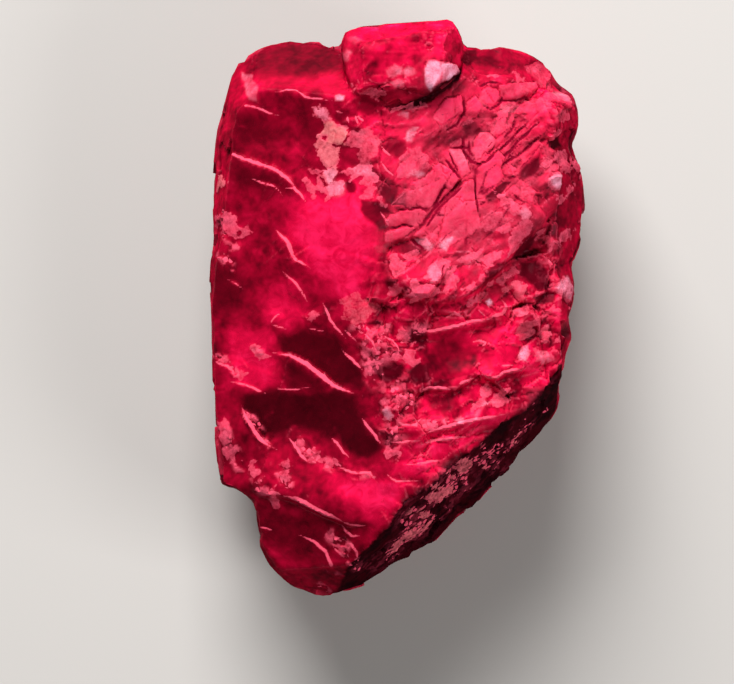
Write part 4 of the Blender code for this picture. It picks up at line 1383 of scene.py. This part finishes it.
def deep_shade_and_windows(ground, gap_shade, mottling, milk, glow):
    """Adds the deep ground with its painted shade, the painted shade of the gaps and of the lower right
    facet, and the clear windows.
    """
    deep_and_shaded = np.clip(np.maximum(ground.deep_and_shaded, gap_shade) * (1 + 0.4 * mottling), 0, 1)
    milk += (DEEP_MILK - milk) * deep_and_shaded
    glow *= 1 - 0.9 * deep_and_shaded
    side_shade = ground.side_shade * (1 + 0.3 * mottling)
    milk += (1 - milk) * side_shade
    glow *= np.clip(1 - 0.97 * side_shade, 0, 1)
    window = np.clip(ground.window * (1 + 0.5 * mottling), 0, 1)
    milk += (WINDOW_MILK - milk) * window
    glow += (WINDOW_GLOW - glow) * window
    return milk, glow, side_shade


def looks(mesh, ground, fine, drawn, settings):
    """Works out what the material reads at each point, painted light and shade among it, and stores it."""
    places, front, right = ground.places, ground.front, ground.right
    mottling = sum(strength * wave(places, size, seed) for size, strength, seed in MOTTLING)
    standing = sharpness(mesh, points_of(mesh))
    # Painted shade in hollows, where a point lies below the ground around it.
    hollow_shade = ramp(-standing, *HOLLOW_LIES) * (1 - 0.8 * front * (1 - right))
    # Painted shade in the gaps between broken pieces.
    gap_shade = spots(places, SHADED_GAPS) * ramp(wave(places, 0.9, 65) + 0.5 * wave(places, 0.35, 66), -0.05, 0.25)
    # Front ground that faces the key light is painted darker, as painted shade.
    shade_toward_key = front * ramp(ground.normals[:, 1], 0.25, 0.65)

    milk, glow, wall = plain_stone(ground, mottling)
    milk, glow = clouds_and_painted_light(ground, fine, drawn["plate"], mottling, milk, glow)
    milk, glow, side_shade = deep_shade_and_windows(ground, gap_shade, mottling, milk, glow)
    milk += (DEEP_MILK - milk) * 0.7 * hollow_shade
    ways = normals_of(mesh)
    lean = ways[:, 2]
    milk += (STEEP_MILK - milk) * np.clip((1 - ramp(lean, 0.45, 0.75)) * ramp(lean, -0.10, 0.10), 0, 1)
    milk += (STEEP_MILK - milk) * 0.85 * ramp(ways @ np.array(GLEAM_SIDE), 0.88, 0.97)
    glow *= 1 - 0.55 * hollow_shade
    glow *= 1 - 0.35 * shade_toward_key
    glow = np.maximum(glow, DEEPEST_GLOW * np.clip(1 - side_shade, 0, 1))

    frost_and_highlight = np.maximum(drawn["frost_and_highlight"] * (1 - 0.7 * hollow_shade), edge_frost(ground, standing, settings.edge_frost))
    veils = ramp(wave(places, 1.8, 56) + 0.4 * wave(places, 0.5, 57), 0.15, 0.45) * wall
    frost_and_highlight = np.maximum(frost_and_highlight, 0.35 * veils)
    frost_and_highlight *= 1 - np.clip(0.75 * ground.deep_and_shaded + 0.6 * gap_shade, 0, 1)
    frost_and_highlight *= 1 - 0.8 * ground.side_shade
    frost_and_highlight *= 1 - 0.5 * shade_toward_key

    # Painted highlights: the pale violet patches and the painted glints on crests.
    painted_highlight = fields(warped(places, 0.6, 0.12, 17), [(corners, PAINTED_HIGHLIGHT_EDGE, share) for corners, share in PAINTED_HIGHLIGHTS])
    painted_highlight = np.maximum(painted_highlight, drawn["glint"])
    painted_highlight *= (0.8 + 0.5 * wave(places, 0.5, 20)) * ramp(ground.normals[:, 2], 0.1, 0.4)
    read = {"frost_and_highlight": np.maximum(frost_and_highlight, 0.8 * painted_highlight), "painted_highlight": painted_highlight, "grain": ground.grain}
    read.update(milk=np.clip(milk, 0, 1), glow=np.clip(glow, 0, 1))
    read.update({name: drawn[name] for name in ("crust", "wax", "buff", "crack", "lip")})
    for name, values in read.items():
        store(mesh, name, values)


def crystal_mesh(settings):
    mesh = even_mesh(blank(), settings.cell)
    finer_front(mesh)
    places, normals = points_of(mesh), normals_of(mesh)
    ground = Ground(places, normals)
    fine, drawn = fine_relief(ground, settings)
    height = main_relief(ground) + fine * ramp(normals[:, 2], -0.9, -0.65)
    set_points(mesh, places + normals * height[:, None])
    looks(mesh, ground, fine, drawn, settings)
    rest_face(mesh)
    mesh = thinner_back(mesh, settings.thinning)
    set_points(mesh, fit_to_box(points_of(mesh)))
    mesh.name = "raw_ruby"
    mesh.shade_smooth()
    mesh.set_sharp_from_angle(angle=SHARP_ANGLE)
    return mesh


# ---------------------------------------------------------------------------------------------------------
# Materials
# ---------------------------------------------------------------------------------------------------------

# The Mix node's colour sockets, which share their names with its other sockets.
COLOUR_A, COLOUR_B, MIXED = 6, 7, 2

# How wide the texture's features are, in millimetres: veils of tiny needles, the grain of a fresh break,
# swirls in the milk and loose crumbs.
VEIL_SIZE, GRAIN_SIZE, SWIRL_SIZE, CRUMB_SIZE = 0.4, 0.12, 0.8, 0.24
FROST_MILK = 0.80  # how far frost hides the clear stone below it
CLEAR_ROUGHNESS, MILK_ROUGHNESS, VEIL_ROUGHNESS = 0.15, 0.16, 0.10  # of clear stone, and what the others add
TOOTH_HEIGHT, TOOTH_STRENGTH = 0.02, 0.35  # the finest relief, which only the light sees
RUBY_IOR = 1.77
LET_THROUGH = (0.93, 0.0, 0.62, 1)  # the stone takes out red least, blue more and green most


def add(tree, kind, settings=(), links=()):
    """Adds a node with its settings, which are properties or input values, and the links into it."""
    node = tree.nodes.new(kind)
    for name, value in dict(settings).items():
        if isinstance(name, int) or name in node.inputs:
            node.inputs[name].default_value = value
        else:
            setattr(node, name, value)
    for name, source in dict(links).items():
        tree.links.new(source, node.inputs[name])
    return node


def new_material(name):
    material = bpy.data.materials.new(name)
    material.use_nodes = True
    material.node_tree.nodes.clear()
    return material, material.node_tree


def stored(tree, name):
    """What the mesh stores under this name."""
    return add(tree, "ShaderNodeAttribute", {"attribute_name": name}).outputs["Fac"]


def figure(tree, operation, *terms, clamp=False):
    """One step of arithmetic on its terms, each a plain number or another node's output."""
    numbers = {place: term for place, term in enumerate(terms) if isinstance(term, float)}
    outputs = {place: term for place, term in enumerate(terms) if place not in numbers}
    settings = {"operation": operation, "use_clamp": clamp, **numbers}
    return add(tree, "ShaderNodeMath", settings, outputs).outputs[0]


def soft_step(tree, value, low, high):
    """0 at low, 1 at high and smooth between them."""
    settings = {"interpolation_type": "SMOOTHSTEP", "From Min": low, "From Max": high}
    return add(tree, "ShaderNodeMapRange", settings, {"Value": value}).outputs["Result"]


def lumpy(tree, place, size, detail, roughness, distortion=0.0):
    """Noise around 0 with lumps about this many millimetres across."""
    settings = {"Scale": 1 / (size * MM), "Detail": detail, "Roughness": roughness, "Distortion": distortion}
    texture = add(tree, "ShaderNodeTexNoise", settings, {"Vector": place})
    return figure(tree, "SUBTRACT", texture.outputs["Fac"], 0.5)


def over(tree, share, below, above):
    """One colour over another by a share. Each colour is a plain one or another node's output."""
    settings, links = {"data_type": "RGBA"}, {"Factor": share}
    for socket, colour in ((COLOUR_A, below), (COLOUR_B, above)):
        kind = settings if isinstance(colour, tuple) else links
        kind[socket] = colour
    return add(tree, "ShaderNodeMix", settings, links).outputs[MIXED]


def loose_crumbs(tree, place, grain):
    """Crumbs with ragged rims on the drusy ground, and nothing elsewhere."""
    cells = add(tree, "ShaderNodeTexVoronoi", {"Scale": 1 / (CRUMB_SIZE * MM)}, {"Vector": place})
    draw = add(tree, "ShaderNodeSeparateColor", (), {"Color": cells.outputs["Color"]})
    wanted = figure(tree, "MULTIPLY", draw.outputs["Red"], stored(tree, "grain"))
    chosen = soft_step(tree, wanted, 0.42, 0.50)
    ragged = figure(tree, "MULTIPLY_ADD", grain, 0.5, cells.outputs["Distance"])
    return figure(tree, "MULTIPLY", chosen, soft_step(tree, ragged, 0.62, 0.50))


def crisp_line(tree, name, grain):
    """A thin line, such as a lip or a crack, with crisp and slightly ragged edges."""
    ragged = figure(tree, "MULTIPLY_ADD", grain, 0.25, stored(tree, name))
    return soft_step(tree, ragged, 0.70, 0.88)


def waxy_crust(tree, veil, flecks):
    """Waxy crust, with torn edges and a grain of its own."""
    torn = figure(tree, "MULTIPLY_ADD", veil, 1.8, stored(tree, "crust"))
    grained = figure(tree, "MULTIPLY_ADD", flecks, 1.2, stored(tree, "wax"), clamp=True)
    return figure(tree, "MULTIPLY", grained, soft_step(tree, torn, 0.42, 0.60))


def frosting(tree, place, veil, grain, swirl):
    """How frosted the surface is, partly as painted highlight, with crust, lips and crumbs on broken ground,
    and how it is speckled.
    """
    flecks = figure(tree, "ADD", grain, swirl)
    frost_and_highlight = stored(tree, "frost_and_highlight")
    speckle = figure(tree, "MULTIPLY", flecks, frost_and_highlight)
    frosted = figure(tree, "MULTIPLY_ADD", speckle, 1.6, frost_and_highlight, clamp=True)
    for layer in (
        waxy_crust(tree, veil, flecks),
        crisp_line(tree, "lip", grain),
        loose_crumbs(tree, place, grain),
    ):
        frosted = figure(tree, "MAXIMUM", frosted, layer)
    return frosted, speckle


def stone_red(tree, swirl):
    """The stone's red, brighter where it glows, with the painted light and shade that the mesh stores."""
    glow = stored(tree, "glow")
    alight = figure(tree, "MULTIPLY_ADD", figure(tree, "MULTIPLY", swirl, glow), 1.3, glow)
    body = add(tree, "ShaderNodeValToRGB", (), {"Fac": alight})
    stops = body.color_ramp.elements
    for share, _ in RUBY_REDS[1:-1]:
        stops.new(share)
    for stop, (share, red) in zip(stops, RUBY_REDS):
        stop.position = share
        stop.color = opaque(red)
    return body.outputs["Color"]


def corundum(settings):
    """Corundum coloured by chromium, broken and never polished.

    The clear parts are see-through and deep red, as the stone takes out all the green and most of the blue.
    Milky clouds glow pinkish red, and freshly broken edges and plates look waxy and salmon pink.
    Its red carries painted light and shade, and part of its frost and its pale violet patches are painted
    highlights.
    """
    material, tree = new_material("corundum_rough_ruby")
    place = add(tree, "ShaderNodeTexCoord").outputs["Object"]
    veil = lumpy(tree, place, VEIL_SIZE, 4.0, 0.6)
    grain = lumpy(tree, place, GRAIN_SIZE, 3.0, 0.7)
    swirl = lumpy(tree, place, SWIRL_SIZE, 6.0, 0.62, 1.4)
    frosted, speckle = frosting(tree, place, veil, grain, swirl)

    stained = over(tree, stored(tree, "buff"), (*settings.frost_colour, 1), opaque(GRAIN_BUFF))
    # Painted highlights in pale violet over the frost.
    broken = over(tree, stored(tree, "painted_highlight"), stained, opaque(PAINTED_HIGHLIGHT_VIOLET))
    face = over(tree, frosted, stone_red(tree, swirl), broken)
    colour = over(tree, crisp_line(tree, "crack", grain), face, opaque(CRACK_RED))

    milky = figure(tree, "MULTIPLY_ADD", frosted, FROST_MILK, stored(tree, "milk"))
    clear = figure(tree, "SUBTRACT", 1.0, milky, clamp=True)
    roughness = figure(tree, "MULTIPLY_ADD", milky, MILK_ROUGHNESS, CLEAR_ROUGHNESS)
    roughness = figure(tree, "MULTIPLY_ADD", veil, VEIL_ROUGHNESS, roughness)
    tooth = add(
        tree,
        "ShaderNodeBump",
        {"Strength": TOOTH_STRENGTH, "Distance": TOOTH_HEIGHT * MM},
        {"Height": speckle},
    )
    # With a Specular IOR Level above 0 the steep facets turn grey, while the stone's are deep red.
    shader = add(
        tree,
        "ShaderNodeBsdfPrincipled",
        {"IOR": RUBY_IOR, "Specular IOR Level": 0.0, "Specular Tint": opaque(SHEEN_PINK)},
        {
            "Base Color": colour,
            "Transmission Weight": clear,
            "Roughness": roughness,
            "Normal": tooth.outputs["Normal"],
        },
    )
    depth = add(
        tree,
        "ShaderNodeVolumeAbsorption",
        {"Color": LET_THROUGH, "Density": settings.absorption},
    )
    add(
        tree,
        "ShaderNodeOutputMaterial",
        (),
        {"Surface": shader.outputs["BSDF"], "Volume": depth.outputs["Volume"]},
    )
    return material


def studio_paper(settings):
    """Matt paper sweep, which gives an even pale ground with soft shadows."""
    material, tree = new_material("matt_paper")
    shader = add(
        tree,
        "ShaderNodeBsdfPrincipled",
        {"Base Color": (*settings.floor_colour, 1), "Roughness": 0.85, "Specular IOR Level": 0.2},
    )
    add(tree, "ShaderNodeOutputMaterial", (), {"Surface": shader.outputs["BSDF"]})
    return material


# ---------------------------------------------------------------------------------------------------------
# Settings
# ---------------------------------------------------------------------------------------------------------


class RubySettings(bpy.types.PropertyGroup):
    """What a user would change on the crystal."""

    cell: bpy.props.FloatProperty(
        name="Cell",
        description="Mesh cell of the skin, in mm; the front has half of it",
        default=0.19,
        min=0.1,
    )
    thinning: bpy.props.FloatProperty(
        name="Thinning", description="Share of the triangles that is kept", default=0.80, min=0.1, max=1
    )
    small_chips: bpy.props.FloatProperty(
        name="Small chips",
        description="Strength of the chips about 1 mm wide",
        default=0.6,
        min=0,
        subtype="FACTOR",
    )
    tiny_chips: bpy.props.FloatProperty(
        name="Tiny chips",
        description="Strength of the chips about 0.4 mm wide",
        default=0.55,
        min=0,
        subtype="FACTOR",
    )
    ridges: bpy.props.FloatProperty(
        name="Ridges",
        description="Strength of the long broken ridges on the right",
        default=1.0,
        min=0,
        subtype="FACTOR",
    )
    edge_frost: bpy.props.FloatProperty(
        name="Edge frost",
        description="How white the broken edges are",
        default=0.6,
        min=0,
        max=1,
        subtype="FACTOR",
    )
    absorption: bpy.props.FloatProperty(
        name="Absorption", description="How quickly the stone swallows light, per metre", default=700.0, min=0
    )
    frost_colour: bpy.props.FloatVectorProperty(
        name="Frost",
        description="Colour of fresh broken edges",
        default=linear(FRESH_FROST),
        subtype="COLOR",
        size=3,
    )


class StageSettings(bpy.types.PropertyGroup):
    """What a user would change in the small studio."""

    key_power: bpy.props.FloatProperty(
        name="Key", description="Power of the main soft light, in watts", default=1.88, min=0, unit="POWER"
    )
    fill_power: bpy.props.FloatProperty(
        name="Fill", description="Power of the fill light, in watts", default=0.80, min=0, unit="POWER"
    )
    sky: bpy.props.FloatProperty(
        name="Sky", description="Strength of the even light from all around", default=0.05, min=0
    )
    floor_colour: bpy.props.FloatVectorProperty(
        name="Floor", description="Colour of the paper", default=linear(FLOOR_PALE), subtype="COLOR", size=3
    )
    camera_height: bpy.props.FloatProperty(
        name="Camera height", description="Height of the camera over the crystal", default=0.50, unit="LENGTH"
    )


# ---------------------------------------------------------------------------------------------------------
# Operators
# ---------------------------------------------------------------------------------------------------------


class RUBY_OT_crystal(bpy.types.Operator):
    """Build the ruby crystal with its fine relief and its see-through material"""

    bl_idname = "ruby.crystal"
    bl_label = "Ruby Crystal"

    def execute(self, context):
        settings = context.scene.ruby_settings
        mesh = crystal_mesh(settings)
        mesh.materials.append(corundum(settings))
        crystal = bpy.data.objects.new("raw_ruby", mesh)
        context.scene.collection.objects.link(crystal)
        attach(crystal, "root")
        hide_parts(NODE)
        return {"FINISHED"}


# The view of the front: how wide it is at the crystal's outline and which point of it is in the middle.
VIEW_WIDTH = 38.3 * MM
VIEW_MIDDLE = (-1.6 * MM, -1.7 * MM)
OUTLINE_HEIGHT = 6.0 * MM
SENSOR = 36.0  # the width of the camera's sensor, in millimetres
NEAREST_SEEN = 0.005

# The studio, in metres. The soft boxes look at the middle of the crystal.
PAPER_REACH = 1.5
PAPER_DROP = 0.02 * MM  # the paper lies this far below the crystal, so that the two don't share a plane
BOX_SIZE = 0.18
BOX_AIM = (0, 0, 0.006)
KEY_PLACE = (-0.06, 0.24, 0.18)
FILL_PLACE = (0.28, -0.14, 0.20)


def soft_light(name, place, power):
    """A square soft box that looks at the crystal."""
    lamp = bpy.data.lights.new(name, "AREA")
    lamp.size = BOX_SIZE
    lamp.energy = power
    holder = bpy.data.objects.new(name, lamp)
    holder.location = place
    holder.rotation_euler = (Vector(BOX_AIM) - Vector(place)).to_track_quat("-Z", "Y").to_euler()
    bpy.context.scene.collection.objects.link(holder)


class RUBY_OT_stage(bpy.types.Operator):
    """Set up the paper floor, the soft lights and the camera over the crystal"""

    bl_idname = "ruby.stage"
    bl_label = "Studio"

    def execute(self, context):
        settings = context.scene.ruby_stage
        scene = context.scene
        sheet = bmesh.new()
        bmesh.ops.create_grid(sheet, x_segments=1, y_segments=1, size=PAPER_REACH)
        bmesh.ops.translate(sheet, verts=sheet.verts, vec=(0, 0, -PAPER_DROP))
        mesh = bpy.data.meshes.new("paper_floor")
        sheet.to_mesh(mesh)
        sheet.free()
        mesh.materials.append(studio_paper(settings))
        floor = bpy.data.objects.new("paper_floor", mesh)
        scene.collection.objects.link(floor)

        soft_light("key_softbox", KEY_PLACE, settings.key_power)
        soft_light("fill_softbox", FILL_PLACE, settings.fill_power)
        world = bpy.data.worlds.new("studio")
        world.use_nodes = True
        sky = world.node_tree.nodes["Background"]
        sky.inputs["Strength"].default_value = settings.sky
        sky.inputs["Color"].default_value = (1, 1, 1, 1)
        scene.world = world
        scene.view_settings.view_transform = "Standard"

        lens = bpy.data.cameras.new("front_camera")
        distance = settings.camera_height - OUTLINE_HEIGHT
        lens.sensor_width = SENSOR
        lens.lens = SENSOR * distance / VIEW_WIDTH
        lens.clip_start = NEAREST_SEEN
        camera = bpy.data.objects.new("front_camera", lens)
        camera.location = (*VIEW_MIDDLE, settings.camera_height)
        scene.collection.objects.link(camera)
        scene.camera = camera
        return {"FINISHED"}


class RUBY_PT_panel(bpy.types.Panel):
    """Sidebar list of the crystal and its studio"""

    bl_idname = "RUBY_PT_panel"
    bl_label = "Raw Ruby Crystal"
    bl_space_type = "VIEW_3D"
    bl_region_type = "UI"
    bl_category = "Ruby"

    def draw(self, context):
        for operator, settings in (
            (RUBY_OT_crystal, context.scene.ruby_settings),
            (RUBY_OT_stage, context.scene.ruby_stage),
        ):
            box = self.layout.box()
            for name in settings.__annotations__:
                box.prop(settings, name)
            box.operator(operator.bl_idname)


CLASSES = (RubySettings, StageSettings, RUBY_OT_crystal, RUBY_OT_stage, RUBY_PT_panel)


def register():
    for cls in CLASSES:
        bpy.utils.register_class(cls)
    bpy.types.Scene.ruby_settings = bpy.props.PointerProperty(type=RubySettings)
    bpy.types.Scene.ruby_stage = bpy.props.PointerProperty(type=StageSettings)


def unregister():
    del bpy.types.Scene.ruby_stage
    del bpy.types.Scene.ruby_settings
    for cls in reversed(CLASSES):
        bpy.utils.unregister_class(cls)


def corners(box):
    """A box as plain lists of numbers."""
    return [[float(value) for value in corner] for corner in box]


def main():
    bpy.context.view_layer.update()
    register()
    bpy.ops.ruby.crystal()
    bpy.ops.ruby.stage()


if __name__ == "__main__":
    main()
